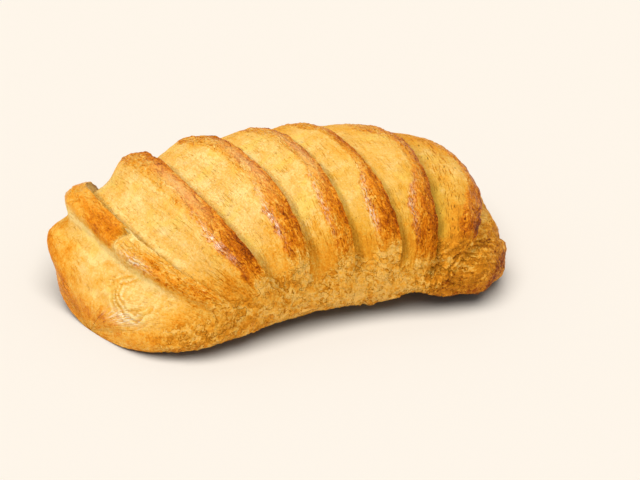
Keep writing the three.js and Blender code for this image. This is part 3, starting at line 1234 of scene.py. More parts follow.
@dataclass(frozen=True)
class Baking:
    """The tones of the whole crust. Its browning goes from 0, pale dough, to 1, dark crust."""

    cuts: CutBaking = CutBaking()
    strips: StripBaking = StripBaking()
    sides: SideBaking = SideBaking()
    broad: BroadBaking = BroadBaking()
    wash: EggWash = EggWash()
    blotch: float = 0.08
    blotch_size: float = 11.0
    underside: float = 0.60
    valley: float = 0.0
    valley_out: Spot = Spot(7.3, 0.9)
    valley_rise: Span = Span(0.66, 0.76)
    tear: float = 0.1
    tear_angle: Spot = Spot(0.933, 0.010)
    tear_out: Span = Span(4.5, 6.5)
    tear_share: float = 0.8
    lip_edge: float = 0.70
    lip_round: Spot = Spot(0.36, 0.24)
    lip_rise: Span = Span(0.64, 0.74)
    lip_rear: Span = Span(1.0, 1.1)
    lip_rear_loss: float = 0.6
    lip_first: float = 0.1
    bare: float = 0.18
    bare_place: Lump = Lump(Spot(-37.4, 2.8), Spot(0.972, 0.040), 1.0)
    floor_fall: Span = Span(0.16, 0.46)
    floor_least: float = 0.65
    floor_least_last: float = 0.35
    floor_left: float = 0.08
    floor_middle: float = 0.40
    floor_middle_run: Span = Span(-18.0, 12.0)
    floor_right: float = 0.52
    floor_right_run: Span = Span(30.0, 46.0)
    floor_high: Span = Span(0.84, 0.96)
    floor_high_loss: float = 0.6
    smooth_first: Span = Span(0.90, 0.97)
    smooth_loss: float = 0.65
    pits: float = 0.5
    pits_last: float = 1.6
    pits_share: Spot = Spot(0.45, 0.25)
    pits_low: Span = Span(9.0, 16.0)
    pits_most: float = 2.0

    def apply(self, skin: Skin, zones: Zones, top: CutTop) -> None:
        """Works out the skin's tones.

        Args:
            skin: The net with its places, which gets its tones.
            zones: The kinds of crust on it.
            top: The strips and cuts.
        """
        smooth = np.where(skin.first, 1.0 - self.smooth_loss * self.smooth_first.rise(skin.angle), 1.0)
        found = {
            Tone.BROWNING: self.browning(skin, zones, top),
            Tone.FLOOR: self.floor(skin, zones, top),
            Tone.SIDE: zones.side,
            Tone.STRIP: zones.strip * smooth,
            Tone.GLOSS: self.wash.gloss(skin, zones),
            Tone.PITS: self.pinholes(skin, zones, top),
            Tone.SHINE: self.wash.shine(skin, zones, top),
            Tone.PEACH: self.wash.peach(skin, zones, top),
        }
        for tone, values in found.items():
            skin.tones[tone] = np.clip(values, 0.0, self.pits_most if tone is Tone.PITS else 1.0)

    def browning(self, skin: Skin, zones: Zones, top: CutTop) -> Array:
        """Browning of the whole skin.

        Args:
            skin: The net with its places.
            zones: The kinds of crust on it.
            top: The strips and cuts.

        Returns:
            Values from pale dough to dark crust.
        """
        value = blend(self.cuts.browning(skin), self.strips.browning(skin, top), zones.strip)
        value = blend(value, self.sides.browning(skin), zones.side * (1.0 - zones.cushion))
        value = blend(value, self.broad.browning(skin), zones.cushion)
        # pale band along the valley: pale dough and painted light that lifts the shaded dip
        line = self.valley_out.near(skin.out) * skin.first * self.valley_rise.rise(skin.angle)
        value = blend(value, self.valley, line)
        tear = self.tear_angle.near(skin.angle) * skin.first * self.tear_out.fall(skin.out)
        value = blend(value, self.tear, self.tear_share * tear)
        # darker rounded lip edge: browned edge and painted shade under the overhang
        lip = self.lip_round.near(skin.edge) * skin.show * self.lip_rise.rise(skin.angle)
        lip = lip * (1.0 - self.lip_rear_loss * self.lip_rear.rise(skin.angle))
        value = blend(value, self.lip_edge, lip * np.where(skin.first, self.lip_first, 1.0))
        value = blend(value, self.bare, self.bare_place.over(skin.along, skin.angle) * zones.strip)
        blotch = self.blotch * cloud(skin.places, self.blotch_size, depth=2, shift=12.0)
        return blend(value + blotch, self.underside, zones.under)

    def floor(self, skin: Skin, zones: Zones, top: CutTop) -> Array:
        """Where the floors of the cuts are olive, partly as painted shade of the lips: low in them and
        towards the narrow end.

        Args:
            skin: The net.
            zones: The kinds of crust on it.
            top: The strips and cuts.

        Returns:
            Shares from 0 to 1.
        """
        least = np.where(skin.gap == top.count - 1, self.floor_least_last, self.floor_least)
        found = np.where(skin.opened, blend(1.0, least, self.floor_fall.rise(skin.share)), 0.0) * zones.pale
        run = self.floor_left + self.floor_middle * self.floor_middle_run.rise(skin.along)
        run = run + self.floor_right * self.floor_right_run.rise(skin.along)
        return found * run * (1.0 - self.floor_high_loss * self.floor_high.rise(skin.angle))

    def pinholes(self, skin: Skin, zones: Zones, top: CutTop) -> Array:
        """Where the dough has pinholes: on the cuts, most on the last, and low on the broad end.

        Args:
            skin: The net.
            zones: The kinds of crust on it.
            top: The strips and cuts.

        Returns:
            Shares from 0 to about 2.
        """
        last = self.pits_last * self.pits_share.near(skin.share) * (skin.gap == top.count - 1)
        return np.maximum(zones.pale * (self.pits + last), zones.cushion * self.pits_low.fall(skin.z))


@dataclass
class NodeKit:
    """Short ways to add nodes to one material."""

    tree: bpy.types.NodeTree

    def node(self, kind: str, **settings: object) -> bpy.types.Node:
        """Adds a node.

        Args:
            kind: Blender's name of the node.
            **settings: Properties of the node to set.

        Returns:
            The new node.
        """
        made = self.tree.nodes.new(kind)
        for key, value in settings.items():
            setattr(made, key, value)
        return made

    def feed(self, socket: Socket, value: Socket | float | tuple[float, ...]) -> None:
        """Links a socket to another, or sets its value.

        Args:
            socket: The input.
            value: An output, a number or several numbers.
        """
        if isinstance(value, bpy.types.NodeSocket):
            self.tree.links.new(value, socket)
        else:
            socket.default_value = value

    def sum_up(self, node: bpy.types.Node, values: tuple[Socket | float | Place, ...], output: str) -> Socket:
        """Feeds a node's inputs in order.

        Args:
            node: A node that works out one sum.
            values: The values it works on.
            output: Which output is used.

        Returns:
            The result.
        """
        for socket, value in zip(node.inputs, values):
            self.feed(socket, value)
        return node.outputs[output]

    def maths(self, kind: str, *values: Socket | float) -> Socket:
        """Works out one sum of numbers, by Blender's name of the operation."""
        return self.sum_up(self.node("ShaderNodeMath", operation=kind), values, "Value")

    def vector(self, kind: str, *values: Socket | Place) -> Socket:
        """Works out one sum of vectors, by Blender's name of the operation."""
        return self.sum_up(self.node("ShaderNodeVectorMath", operation=kind), values, "Vector")

    def times(self, first: Socket, *others: Socket | float) -> Socket:
        """Multiplies values in order.

        Args:
            first: The first value.
            *others: What it is multiplied by.

        Returns:
            The product.
        """
        for other in others:
            first = self.maths("MULTIPLY", first, other)
        return first

    def total(self, *parts: tuple[float, Socket, Socket | float]) -> Socket:
        """Adds up weighted parts.

        Args:
            *parts: For each part a weight, a value and a mask.

        Returns:
            The sum of weight times value times mask.
        """
        result: Socket | float = 0.0
        for weight, value, mask in parts:
            result = self.maths("MULTIPLY_ADD", self.times(value, mask), weight, result)
        return result

    def centred(self, value: Socket) -> Socket:
        """Moves a value from 0 to 1 so that its middle is 0."""
        return self.maths("SUBTRACT", value, 0.5)

    def noise(self, vector: Socket, scale: float, detail: float, rough: float, output: str = "Fac") -> Socket:
        """Adds soft noise.

        Args:
            vector: The coordinates.
            scale: How many lumps there are in one unit.
            detail: How many times finer lumps are added.
            rough: How strong the finer lumps are.
            output: Which of the noise's outputs is used.

        Returns:
            The noise, from 0 to 1.
        """
        made = self.node("ShaderNodeTexNoise")
        for name, value in zip(("Vector", "Scale", "Detail", "Roughness"), (vector, scale, detail, rough)):
            self.feed(made.inputs[name], value)
        return made.outputs[output]

    def between(self, value: Socket, span: Span) -> Socket:
        """Maps a value to a share of a span, with soft ends.

        Args:
            value: The value.
            span: Where the share is 0 and where it is 1.

        Returns:
            The share, from 0 to 1.
        """
        made = self.node("ShaderNodeMapRange", interpolation_type="SMOOTHSTEP")
        for name, given in zip(("Value", "From Min", "From Max"), (value, span.begin, span.full)):
            self.feed(made.inputs[name], given)
        return made.outputs["Result"]


class Coords(Enum):
    """The coordinates that a pattern lies on."""

    PLACES = "the piece's own place"
    BENT = "places that are bent a little"
    GRAIN = "along and across the strips"
    CURLED = "along and across, with a curl"
    STRAND = "along and across, in strands"


class Where(Enum):
    """The kind of crust that a pattern shows on."""

    ALL = "everywhere"
    STRIP = "brown strips"
    SIDE = "flaky sides"
    REST = "pale cuts and the broad end"


# A weight, the name of a pattern, and where it shows
Part = tuple[float, str, Where]


@dataclass(frozen=True)
class Speckle:
    """Noise on some coordinates: its fineness, the span that cuts it to spots, its stretch and its shift."""

    on: Coords
    scale: float
    detail: float
    rough: float
    spots: Span | None = None
    stretch: Place | None = None
    shift: Place | None = None

    def make(self, kit: NodeKit, vector: Socket) -> Socket:
        """Adds the noise to a material.

        Args:
            kit: The material's nodes.
            vector: The coordinates.

        Returns:
            Spots from 0 to 1, or waves round 0 where there is no span.
        """
        if self.stretch:
            vector = kit.vector("MULTIPLY", vector, self.stretch)
        if self.shift:
            vector = kit.vector("ADD", vector, self.shift)
        found = kit.noise(vector, self.scale, self.detail, self.rough)
        return kit.between(found, self.spots) if self.spots else kit.centred(found)


@dataclass(frozen=True)
class FlakePattern:
    """Flakes in layers that lie over each other like shingles."""

    on: Coords
    shift: float
    scale: float
    steps: float
    spread: Place = (1.0, 0.7, 1.3)
    detail: float = 4.0
    rough: float = 0.56
    apart: float = 5.3
    shade_scale: float = 1.6
    whole_scale: float = 1.1
    whole: Span = Span(0.40, 0.56)
    edge: Span = Span(0.0, 0.15)
    rim_begin: Span = Span(0.13, 0.20)
    rim_end: Span = Span(0.52, 0.24)
    foot_before: Span = Span(0.86, 0.98)
    foot_after: Span = Span(0.13, 0.04)

    def make(self, kit: NodeKit, vector: Socket) -> dict[str, Socket]:
        """Adds the flakes to a material.

        Args:
            kit: The material's nodes.
            vector: The coordinates.

        Returns:
            Heights and shades, from about -0.5 to 0.5, and rims and the gaps at their feet, from 0 to 1.
        """
        moved = kit.vector("ADD", vector, tuple(self.shift * s / self.scale for s in self.spread))
        level = kit.times(kit.noise(moved, self.scale, self.detail, self.rough), self.steps)
        part = kit.maths("FRACT", level)
        away = kit.times(kit.maths("SUBTRACT", level, part), self.apart / self.scale)
        own = kit.vector("ADD", moved, kit.sum_up(kit.node("ShaderNodeCombineXYZ"), (away,) * 3, "Vector"))
        shade = kit.noise(own, self.shade_scale * self.scale, 2.0, 0.5)
        whole = kit.between(kit.noise(own, self.whole_scale * self.scale, 1.0, 0.5), self.whole)
        step = kit.times(kit.between(part, self.edge), kit.maths("SUBTRACT", 1.0, part))
        rim = kit.times(kit.between(part, self.rim_begin), kit.between(part, self.rim_end), whole)
        foot = kit.maths("MAXIMUM", kit.between(part, self.foot_before), kit.between(part, self.foot_after))
        return {
            "height": kit.centred(step),
            "shade": kit.centred(shade),
            "rim": rim,
            "foot": kit.times(foot, whole),
        }


@dataclass(frozen=True)
class Tint:
    """A colour that is mixed in, and how strongly."""

    colour: Colour
    strength: float

    def over(self, kit: NodeKit, base: Socket, share: Socket) -> Socket:
        """Mixes the tint into a colour.

        Args:
            kit: The material's nodes.
            base: The colour to change.
            share: Where it is changed.

        Returns:
            The mixed colour.
        """
        made = kit.node("ShaderNodeMix", data_type="RGBA")
        kit.feed(made.inputs[MIX_SHARE], kit.times(share, self.strength))
        kit.feed(made.inputs[MIX_BASE], base)
        kit.feed(made.inputs[MIX_ADDED], (*self.colour, 1.0))
        return made.outputs[MIX_RESULT]


@dataclass(frozen=True)
class CrustFinish:
    """The baked crust: pale cuts, golden sides and brown egg-washed strips in one material."""

    name: str = "baked_crust"
    stops: tuple[tuple[float, Colour], ...] = (
        (0.00, (0.97, 0.68, 0.245)),
        (0.14, (0.88, 0.515, 0.130)),
        (0.34, (0.82, 0.392, 0.048)),
        (0.50, (0.77, 0.260, 0.011)),
        (0.66, (0.58, 0.153, 0.003)),
        (0.80, (0.40, 0.085, 0.002)),
        (1.00, (0.16, 0.027, 0.001)),
    )
    # olive low in the cuts: partly the dough's colour, partly painted shade of the lips
    olive: Tint = Tint((0.58, 0.325, 0.030), 0.85)
    baked: Tint = Tint((0.50, 0.225, 0.018), 0.45)
    butter: Tint = Tint((0.86, 0.56, 0.085), 0.5)
    cream: Tint = Tint((0.92, 0.68, 0.30), 0.34)
    # painted sheen: a peachy tint high on the second to fourth strips
    peach: Tint = Tint((0.86, 0.46, 0.22), 0.40)
    pinhole: Tint = Tint((0.26, 0.10, 0.014), 0.75)
    # painted highlight: cream spots where the wash shines
    shine: Tint = Tint((0.95, 0.80, 0.55), 0.85)
    side_palest: float = 0.20
    baked_from: Span = Span(0.36, 0.62)
    baked_to: Span = Span(0.88, 0.74)
    light: Span = Span(0.34, 0.16)
    specular: float = 0.10
    specular_tint: Colour = (1.0, 0.62, 0.20)
    coat_rough: float = 0.2
    subsurface: float = 0.08
    subsurface_radius: Colour = (1.0, 0.45, 0.15)
    subsurface_scale: float = 0.002
    rough: float = 0.60
    washed: float = 0.24
    rough_fleck: float = 0.25
    curl_scale: float = 420.0
    curl_reach: float = 0.0016
    sway_scale: float = 330.0
    sway_reach: Place = (0.030, 0.016, 0.0)
    grain_length: float = 3.4
    grain_width: float = 1.15
    hole_stretch: Place = (1.9, 0.75, 1.0)
    hole_edge: Span = Span(0.20, 0.09)
    dash_gain: float = 2.0
    speckles: tuple[tuple[str, Speckle], ...] = (
        ("blotch", Speckle(Coords.PLACES, 230.0, 4.0, 0.6)),
        ("fleck", Speckle(Coords.PLACES, 1500.0, 2.0, 0.6)),
        ("pale_dab", Speckle(Coords.BENT, 520.0, 2.0, 0.55, Span(0.56, 0.62))),
        ("dark_dab", Speckle(Coords.BENT, 480.0, 2.0, 0.55, Span(0.57, 0.63), shift=(0.11, 0.23, 0.17))),
        ("pale_speck", Speckle(Coords.BENT, 1050.0, 1.0, 0.5, Span(0.58, 0.66))),
        ("dark_speck", Speckle(Coords.BENT, 1150.0, 1.0, 0.5, Span(0.60, 0.68), shift=(0.31, 0.13, 0.27))),
        ("streak", Speckle(Coords.STRAND, 0.8, 4.0, 0.62)),
        ("line", Speckle(Coords.GRAIN, 1.0, 3.0, 0.6, stretch=(9.0, 150.0, 1.0))),
        ("patch", Speckle(Coords.GRAIN, 1.0, 2.0, 0.5, stretch=(7.0, 26.0, 1.0))),
        ("pale_stroke", Speckle(Coords.CURLED, 1.0, 2.0, 0.5, Span(0.44, 0.37), (52.0, 190.0, 1.0))),
        ("dark_stroke", Speckle(Coords.CURLED, 1.0, 2.0, 0.5, Span(0.56, 0.63), (52.0, 190.0, 1.0))),
        ("dash", Speckle(Coords.GRAIN, 1.0, 2.0, 0.5, Span(0.58, 0.66), (26.0, 260.0, 1.0))),
        ("dash_patch", Speckle(Coords.PLACES, 120.0, 2.0, 0.5, Span(0.46, 0.60))),
        ("hole_patch", Speckle(Coords.PLACES, 150.0, 2.0, 0.5, Span(0.50, 0.60))),
        ("butter", Speckle(Coords.PLACES, 110.0, 2.0, 0.5, Span(0.50, 0.66))),
        ("cream", Speckle(Coords.PLACES, 150.0, 3.0, 0.55, Span(0.54, 0.70), shift=(0.3, 0.1, 0.2))),
        # spots of painted highlight where the wash shines
        ("painted_highlight_spots", Speckle(Coords.GRAIN, 1.0, 2.0, 0.5, Span(0.47, 0.58), (60.0, 210.0, 1.0))),
    )
    flakes: tuple[tuple[str, FlakePattern], ...] = (
        ("crumb", FlakePattern(Coords.PLACES, 0.0, 130.0, 7.0)),
        ("chip", FlakePattern(Coords.PLACES, 4.1, 280.0, 5.0)),
        ("shard", FlakePattern(Coords.STRAND, 1.3, 0.24, 7.0)),
        ("sheet", FlakePattern(Coords.STRAND, 6.7, 0.16, 5.0)),
    )
    # flake rims are paler: pale flake edges and painted highlight; flake feet are darker: painted shade in
    # the gaps
    shades: tuple[Part, ...] = (
        (1.0, Tone.BROWNING.value, Where.ALL),
        (0.22, "blotch", Where.ALL),
        (0.44, "fleck", Where.ALL),
        (0.20, "blotch", Where.REST),
        (-0.12, "pale_speck", Where.STRIP),
        (-0.04, "pale_speck", Where.SIDE),
        (-0.04, "pale_speck", Where.REST),
        (0.14, "dark_speck", Where.STRIP),
        (0.06, "dark_speck", Where.SIDE),
        (0.03, "dark_speck", Where.REST),
        (-0.04, "pale_dab", Where.SIDE),
        (0.06, "dark_dab", Where.SIDE),
        (-0.12, "pale_stroke", Where.STRIP),
        (0.13, "dark_stroke", Where.STRIP),
        (0.04, "dark_stroke", Where.REST),
        (0.34, "patch", Where.REST),
        (0.28, "streak", Where.STRIP),
        (0.42, "shard_shade", Where.STRIP),
        (-0.17, "shard_rim", Where.STRIP),
        (0.12, "shard_foot", Where.STRIP),
        (0.60, "crumb_shade", Where.SIDE),
        (0.46, "chip_shade", Where.SIDE),
        (-0.20, "crumb_rim", Where.SIDE),
        (-0.16, "chip_rim", Where.SIDE),
        (0.17, "crumb_foot", Where.SIDE),
        (0.11, "chip_foot", Where.SIDE),
        (0.18, "sheet_shade", Where.REST),
        (-0.03, "sheet_rim", Where.REST),
        (0.05, "sheet_foot", Where.REST),
        (0.15, "line", Where.REST),
        (0.17, "dash", Where.REST),
    )
    heights: tuple[Part, ...] = (
        (0.26, "fleck", Where.ALL),
        (0.05, "pale_speck", Where.STRIP),
        (-0.06, "dark_speck", Where.STRIP),
        (0.06, "pale_dab", Where.SIDE),
        (-0.06, "dark_dab", Where.SIDE),
        (0.10, "pale_stroke", Where.STRIP),
        (-0.12, "dark_stroke", Where.STRIP),
        (-0.08, "dark_stroke", Where.REST),
        (0.45, "streak", Where.STRIP),
        (0.36, "shard_height", Where.STRIP),
        (0.44, "crumb_height", Where.SIDE),
        (0.32, "chip_height", Where.SIDE),
        (0.12, "sheet_height", Where.REST),
        (0.22, "line", Where.REST),
        (-0.16, "dash", Where.REST),
        (-0.25, "hole", Where.ALL),
    )

    def build(self) -> bpy.types.Material:
        """Makes the material.

        Returns:
            The crust's material.
        """
        material = bpy.data.materials.new(self.name)
        material.use_nodes = True
        kit = NodeKit(material.node_tree)
        shader = material.node_tree.nodes["Principled BSDF"]
        marks = self.patterns(kit)
        strip = marks[Tone.STRIP.value]
        side = marks[Tone.SIDE.value]
        rest = kit.maths("SUBTRACT", kit.maths("SUBTRACT", 1.0, strip), side)
        where = {Where.ALL: 1.0, Where.STRIP: strip, Where.SIDE: side}
        where[Where.REST] = kit.maths("MAXIMUM", rest, 0.0)
        value = kit.total(*((weight, marks[name], where[on]) for weight, name, on in self.shades))
        height = kit.total(*((weight, marks[name], where[on]) for weight, name, on in self.heights))
        kit.feed(shader.inputs["Base Color"], self.colour(kit, marks, value, where))
        parts = (
            (self.washed - self.rough, marks[Tone.GLOSS.value], 1.0),
            (self.rough_fleck, marks["fleck"], 1.0),
        )
        kit.feed(shader.inputs["Roughness"], kit.maths("ADD", kit.total(*parts), self.rough))
        relief = kit.node("ShaderNodeBump")
        for name, given in (("Strength", 1.0), ("Distance", MM), ("Height", height)):
            kit.feed(relief.inputs[name], given)
        kit.feed(shader.inputs["Normal"], relief.outputs["Normal"])
        kit.feed(shader.inputs["Coat Weight"], marks[Tone.SHINE.value])
        shader.inputs["Coat Roughness"].default_value = self.coat_rough
        shader.inputs["Specular IOR Level"].default_value = self.specular
        shader.inputs["Specular Tint"].default_value = (*self.specular_tint, 1.0)
        shader.inputs["Subsurface Weight"].default_value = self.subsurface
        shader.inputs["Subsurface Radius"].default_value = self.subsurface_radius
        shader.inputs["Subsurface Scale"].default_value = self.subsurface_scale
        return material

    def coordinates(self, kit: NodeKit) -> dict[Coords, Socket]:
        """The coordinates that the patterns lie on.

        Args:
            kit: The material's nodes.

        Returns:
            A socket for each kind of coordinates.
        """
        places = kit.node("ShaderNodeTexCoord").outputs["Object"]
        grain = kit.node("ShaderNodeUVMap", uv_map="grain").outputs["UV"]
        curl = kit.noise(places, self.curl_scale, 1.0, 0.5, "Color")
        curl = kit.vector("MULTIPLY", curl, (self.curl_reach,) * 3)
        sway = kit.noise(places, self.sway_scale, 2.0, 0.5, "Color")
        sway = kit.vector("MULTIPLY", sway, self.sway_reach)
        curled = kit.vector("ADD", grain, sway)
        size = (GRAIN_UNIT / self.grain_length, GRAIN_UNIT / self.grain_width, 1.0)
        return {
            Coords.PLACES: places,
            Coords.BENT: kit.vector("ADD", places, curl),
            Coords.GRAIN: grain,
            Coords.CURLED: curled,
            Coords.STRAND: kit.vector("MULTIPLY", curled, size),
        }

    def patterns(self, kit: NodeKit) -> dict[str, Socket]:
        """The skin's tones and all patterns of the crust.

        Args:
            kit: The material's nodes.

        Returns:
            The sockets by name.
        """
        coords = self.coordinates(kit)
        marks = {}
        for tone in Tone:
            marks[tone.value] = kit.node("ShaderNodeAttribute", attribute_name=tone.value).outputs["Fac"]
        for name, speckle in self.speckles:
            marks[name] = speckle.make(kit, coords[speckle.on])
        for name, pattern in self.flakes:
            made = pattern.make(kit, coords[pattern.on])
            marks.update({f"{name}_{key}": socket for key, socket in made.items()})
        pits = marks[Tone.PITS.value]
        dashed = kit.maths("MULTIPLY_ADD", pits, self.dash_gain, -self.dash_gain)
        marks["dash"] = kit.times(marks["dash"], kit.maths("MAXIMUM", dashed, marks["dash_patch"]))
        cells = kit.node("ShaderNodeTexVoronoi")
        kit.feed(cells.inputs["Vector"], kit.vector("MULTIPLY", coords[Coords.STRAND], self.hole_stretch))
        kit.feed(cells.inputs["Scale"], 1.0)
        hole = kit.between(cells.outputs["Distance"], self.hole_edge)
        marks["hole"] = kit.maths("MINIMUM", kit.times(hole, marks["hole_patch"], pits), 1.0)
        return marks

    def colour(
        self, kit: NodeKit, marks: dict[str, Socket], value: Socket, where: dict[Where, Socket | float]
    ) -> Socket:
        """Colours the crust.

        Args:
            kit: The material's nodes.
            marks: The patterns by name.
            value: How brown a point is.
            where: Where each kind of crust is.

        Returns:
            The colour.
        """
        side = where[Where.SIDE]
        ramp = kit.node("ShaderNodeValToRGB")
        elements = ramp.color_ramp.elements
        while len(elements) < len(self.stops):
            elements.new(0.5)
        for element, (position, colour) in zip(elements, self.stops):
            element.position = position
            element.color = (*colour, 1.0)
        kit.feed(ramp.inputs["Fac"], kit.maths("MAXIMUM", value, kit.times(side, self.side_palest)))
        light = kit.times(kit.between(value, self.light), where[Where.REST])
        baked = kit.times(kit.between(value, self.baked_from), kit.between(value, self.baked_to), side)
        # Some tints are painted light: the olive is partly painted shade of the lips, the peachy tint is
        # painted sheen and the last is painted highlight.
        tints = (
            (self.olive, marks[Tone.FLOOR.value]),
            (self.baked, baked),
            (self.butter, kit.times(marks["butter"], light)),
            (self.cream, kit.times(marks["cream"], light)),
            (self.peach, marks[Tone.PEACH.value]),
            (self.pinhole, marks["hole"]),
            (self.shine, kit.times(marks["painted_highlight_spots"], marks[Tone.SHINE.value])),
        )
        mixed = ramp.outputs["Color"]
        for tint, share in tints:
            mixed = tint.over(kit, mixed, share)
        return mixed


@dataclass
class BallNet:
    """Which ring and column of the skin each vertex of the ball is."""

    ring: Array
    column: Array

    def take(self, values: Array) -> Array:
        """The skin's values in the order of the ball's vertices."""
        return values[self.ring, self.column]


@dataclass
class Croissant:
    """The whole baked roll, as one closed skin."""

    roll: PlainRoll = PlainRoll()
    top: CutTop = CutTop()
    ends: EndForms = EndForms()
    net: SkinNet = SkinNet()
    relief: CrustRelief = CrustRelief()
    baking: Baking = Baking()
    finish: CrustFinish = CrustFinish()
    centring: Place = (0.386, 3.303, 0.0)

    def build(self) -> bpy.types.Object:
        """Makes the roll, dresses it and lets it ride on the frame.

        Returns:
            The finished piece.
        """
        skin = self.net.lay(self.roll, self.top)
        zones = self.relief.apply(skin, self.roll, self.top, self.ends)
        self.baking.apply(skin, zones, self.top)
        deselect_all()
        bands = len(skin.rings) - 1
        bpy.ops.mesh.primitive_uv_sphere_add(segments=self.net.columns, ring_count=bands, radius=1.0)
        piece = bpy.context.object
        piece.name = "croissant_crust"
        net = self.read_ball(piece.data, bands)
        self.shape(piece, net.take(skin.places))
        self.carry_tones(piece, skin, net)
        piece.data.materials.append(self.finish.build())
        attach(piece, "root")
        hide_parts("croissant")
        return piece

    def read_ball(self, mesh: bpy.types.Mesh, bands: int) -> BallNet:
        """Finds the ring and column of each vertex of the ball.

        Args:
            mesh: The ball.
            bands: How many bands lie between its rings.

        Returns:
            The rings and columns.
        """
        ball = np.empty(len(mesh.vertices) * 3)
        mesh.vertices.foreach_get("co", ball)
        ball = ball.reshape(-1, 3)
        ring = np.rint(np.arccos(np.clip(ball[:, 2], -1.0, 1.0)) / np.pi * bands).astype(int)
        turn = np.arctan2(ball[:, 1], ball[:, 0]) / (2.0 * np.pi)
        column = np.rint(turn * self.net.columns).astype(int) % self.net.columns
        return BallNet(ring, column)

    def shape(self, piece: bpy.types.Object, places: Array) -> None:
        """Shapes the ball into the roll.

        Args:
            piece: The ball.
            places: Where each of its vertices goes, in millimetres.
        """
        placed = (places + np.array(self.centring)) * MM
        piece.data.vertices.foreach_set("co", placed.astype(np.float32).ravel())
        piece.data.update()
        bpy.ops.object.mode_set(mode="EDIT")
        bpy.ops.mesh.select_all(action="SELECT")
        bpy.ops.mesh.normals_make_consistent(inside=False)
        bpy.ops.object.mode_set(mode="OBJECT")
        bpy.ops.object.shade_smooth()

    def carry_tones(self, piece: bpy.types.Object, skin: Skin, net: BallNet) -> None:
        """Puts the tones and the grain's coordinates on the mesh.

        Args:
            piece: The roll.
            skin: The net with its tones.
            net: The rings and columns of the vertices.
        """
        mesh = piece.data
        for tone, values in skin.tones.items():
            layer = mesh.attributes.new(tone.value, "FLOAT", "POINT")
            layer.data.foreach_set("value", net.take(values).astype(np.float32))
        while mesh.uv_layers:
            mesh.uv_layers.remove(mesh.uv_layers[0])
        grain = mesh.uv_layers.new(name="grain")
        corners = np.empty(len(mesh.loops), dtype=np.int32)
        mesh.loops.foreach_get("vertex_index", corners)
        across = (skin.angle - 1.0) * self.relief.girth
        pair = net.take(np.stack([across, skin.straight], axis=-1)) / GRAIN_UNIT
        grain.data.foreach_set("uv", pair[corners].astype(np.float32).ravel())


class Lit(Enum):
    """What a lamp lights."""

    ROLL = "lit_roll"
    FLOOR = "lit_floor"


@dataclass(frozen=True)
class Lamp:
    """One soft lamp: where it stands, its strength, spread and colour, and what it lights."""

    name: str
    azimuth: float
    elevation: float
    strength: float
    spread: float
    lit: Lit
    colour: Colour = (1.0, 0.985, 0.96)


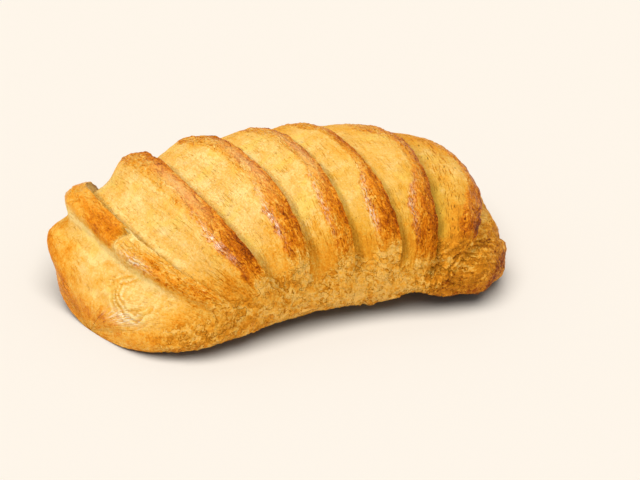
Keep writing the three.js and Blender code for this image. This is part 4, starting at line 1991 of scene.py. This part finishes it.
@dataclass(frozen=True)
class Studio:
    """Floor, light and camera."""

    lamps: tuple[Lamp, ...] = (
        Lamp("overhead", -28.0, 65.0, 2.93, 54.0, Lit.FLOOR, (0.993, 0.960, 0.928)),
        Lamp("floor_fill", -22.0, 35.0, 0.12, 60.0, Lit.FLOOR, (0.27, 0.86, 1.0)),
        Lamp("key", -145.0, 62.0, 1.0, 20.0, Lit.ROLL),
        Lamp("side", -84.0, 42.0, 1.85, 18.0, Lit.ROLL),
        Lamp("fill", 10.0, 28.0, 1.55, 50.0, Lit.ROLL),
        Lamp("right", 80.0, 38.0, 0.45, 40.0, Lit.ROLL),
        Lamp("back", 140.0, 48.0, 0.7, 40.0, Lit.ROLL),
    )
    sky: Colour = (0.96, 0.98, 1.02)
    sky_strength: float = 0.17
    floor_size: float = 8.0
    floor_colour: Colour = (0.99, 0.925, 0.838)
    azimuth: float = -21.83
    elevation: float = 27.0
    distance: float = 0.65
    target: Place = (0.000386, -0.001697, 0.022)
    aim_right: float = 0.00933
    aim_down: float = 0.00641
    lens: float = 112.43
    sensor: float = 36.0
    nearest: float = 0.05
    farthest: float = 50.0

    def build(self, piece: bpy.types.Object) -> None:
        """Makes the floor, the light and the camera.

        Args:
            piece: The roll.
        """
        floor = self.lay_floor()
        self.hang_lamps({Lit.ROLL: piece, Lit.FLOOR: floor})
        self.place_camera()

    def direction(self, azimuth: float, elevation: float) -> Vector:
        """Direction from the roll towards a place round it.

        Args:
            azimuth: Bearing in degrees, 0 in front of the roll and 90 on its right.
            elevation: Degrees over the floor.

        Returns:
            A direction of length 1.
        """
        a = math.radians(azimuth)
        e = math.radians(elevation)
        return Vector((math.sin(a) * math.cos(e), -math.cos(a) * math.cos(e), math.sin(e)))

    def lay_floor(self) -> bpy.types.Object:
        """Lays the plain pale floor.

        Returns:
            The floor.
        """
        deselect_all()
        bpy.ops.mesh.primitive_plane_add(size=self.floor_size)
        floor = bpy.context.object
        floor.name = "floor"
        material = bpy.data.materials.new("pale_floor")
        material.use_nodes = True
        shader = material.node_tree.nodes["Principled BSDF"]
        shader.inputs["Base Color"].default_value = (*self.floor_colour, 1.0)
        shader.inputs["Roughness"].default_value = 1.0
        shader.inputs["Specular IOR Level"].default_value = 0.0
        floor.data.materials.append(material)
        return floor

    def hang_lamps(self, things: dict[Lit, bpy.types.Object]) -> None:
        """Hangs the soft lamps and sets the even light round them.

        Args:
            things: What the lamps light.
        """
        groups = {}
        for lit, thing in things.items():
            groups[lit] = bpy.data.collections.new(lit.value)
            groups[lit].objects.link(thing)
        for lamp in self.lamps:
            bpy.ops.object.light_add(type="SUN")
            light = bpy.context.object
            light.name = lamp.name
            light.data.energy = lamp.strength
            light.data.angle = math.radians(lamp.spread)
            light.data.color = lamp.colour
            towards = self.direction(lamp.azimuth, lamp.elevation)
            light.location = towards
            light.rotation_mode = "QUATERNION"
            light.rotation_quaternion = towards.to_track_quat("Z", "Y")
            light.light_linking.receiver_collection = groups[lamp.lit]
            light.data.cycles.max_bounces = 1 if lamp.lit is Lit.FLOOR else 0
        world = bpy.data.worlds.new("studio")
        world.use_nodes = True
        world.cycles.max_bounces = 0
        background = world.node_tree.nodes["Background"]
        background.inputs["Color"].default_value = (*self.sky, 1.0)
        background.inputs["Strength"].default_value = self.sky_strength
        scene = bpy.context.scene
        scene.world = world
        scene.view_settings.view_transform = "Standard"

    def place_camera(self) -> None:
        """Places the camera at the viewing angle."""
        back = self.direction(self.azimuth, self.elevation)
        right = Vector((0.0, 0.0, 1.0)).cross(back).normalized()
        up = back.cross(right)
        target = Vector(self.target)
        bpy.ops.object.camera_add()
        camera = bpy.context.object
        camera.name = "camera"
        camera.data.lens = self.lens
        camera.data.sensor_width = self.sensor
        camera.data.clip_start = self.nearest
        camera.data.clip_end = self.farthest
        camera.location = target + back * self.distance
        aim = target + right * self.aim_right - up * self.aim_down
        camera.rotation_mode = "QUATERNION"
        camera.rotation_quaternion = (aim - camera.location).to_track_quat("-Z", "Y")
        bpy.context.scene.camera = camera


def main() -> None:
    """Builds the croissant and its studio, and reports the pieces."""
    logging.basicConfig(level=logging.INFO, format="%(message)s")
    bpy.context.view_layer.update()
    piece = Croissant().build()
    log.info("%s: %d vertices, %d faces", piece.name, len(piece.data.vertices), len(piece.data.polygons))
    Studio().build(piece)


if __name__ == "__main__":
    main()
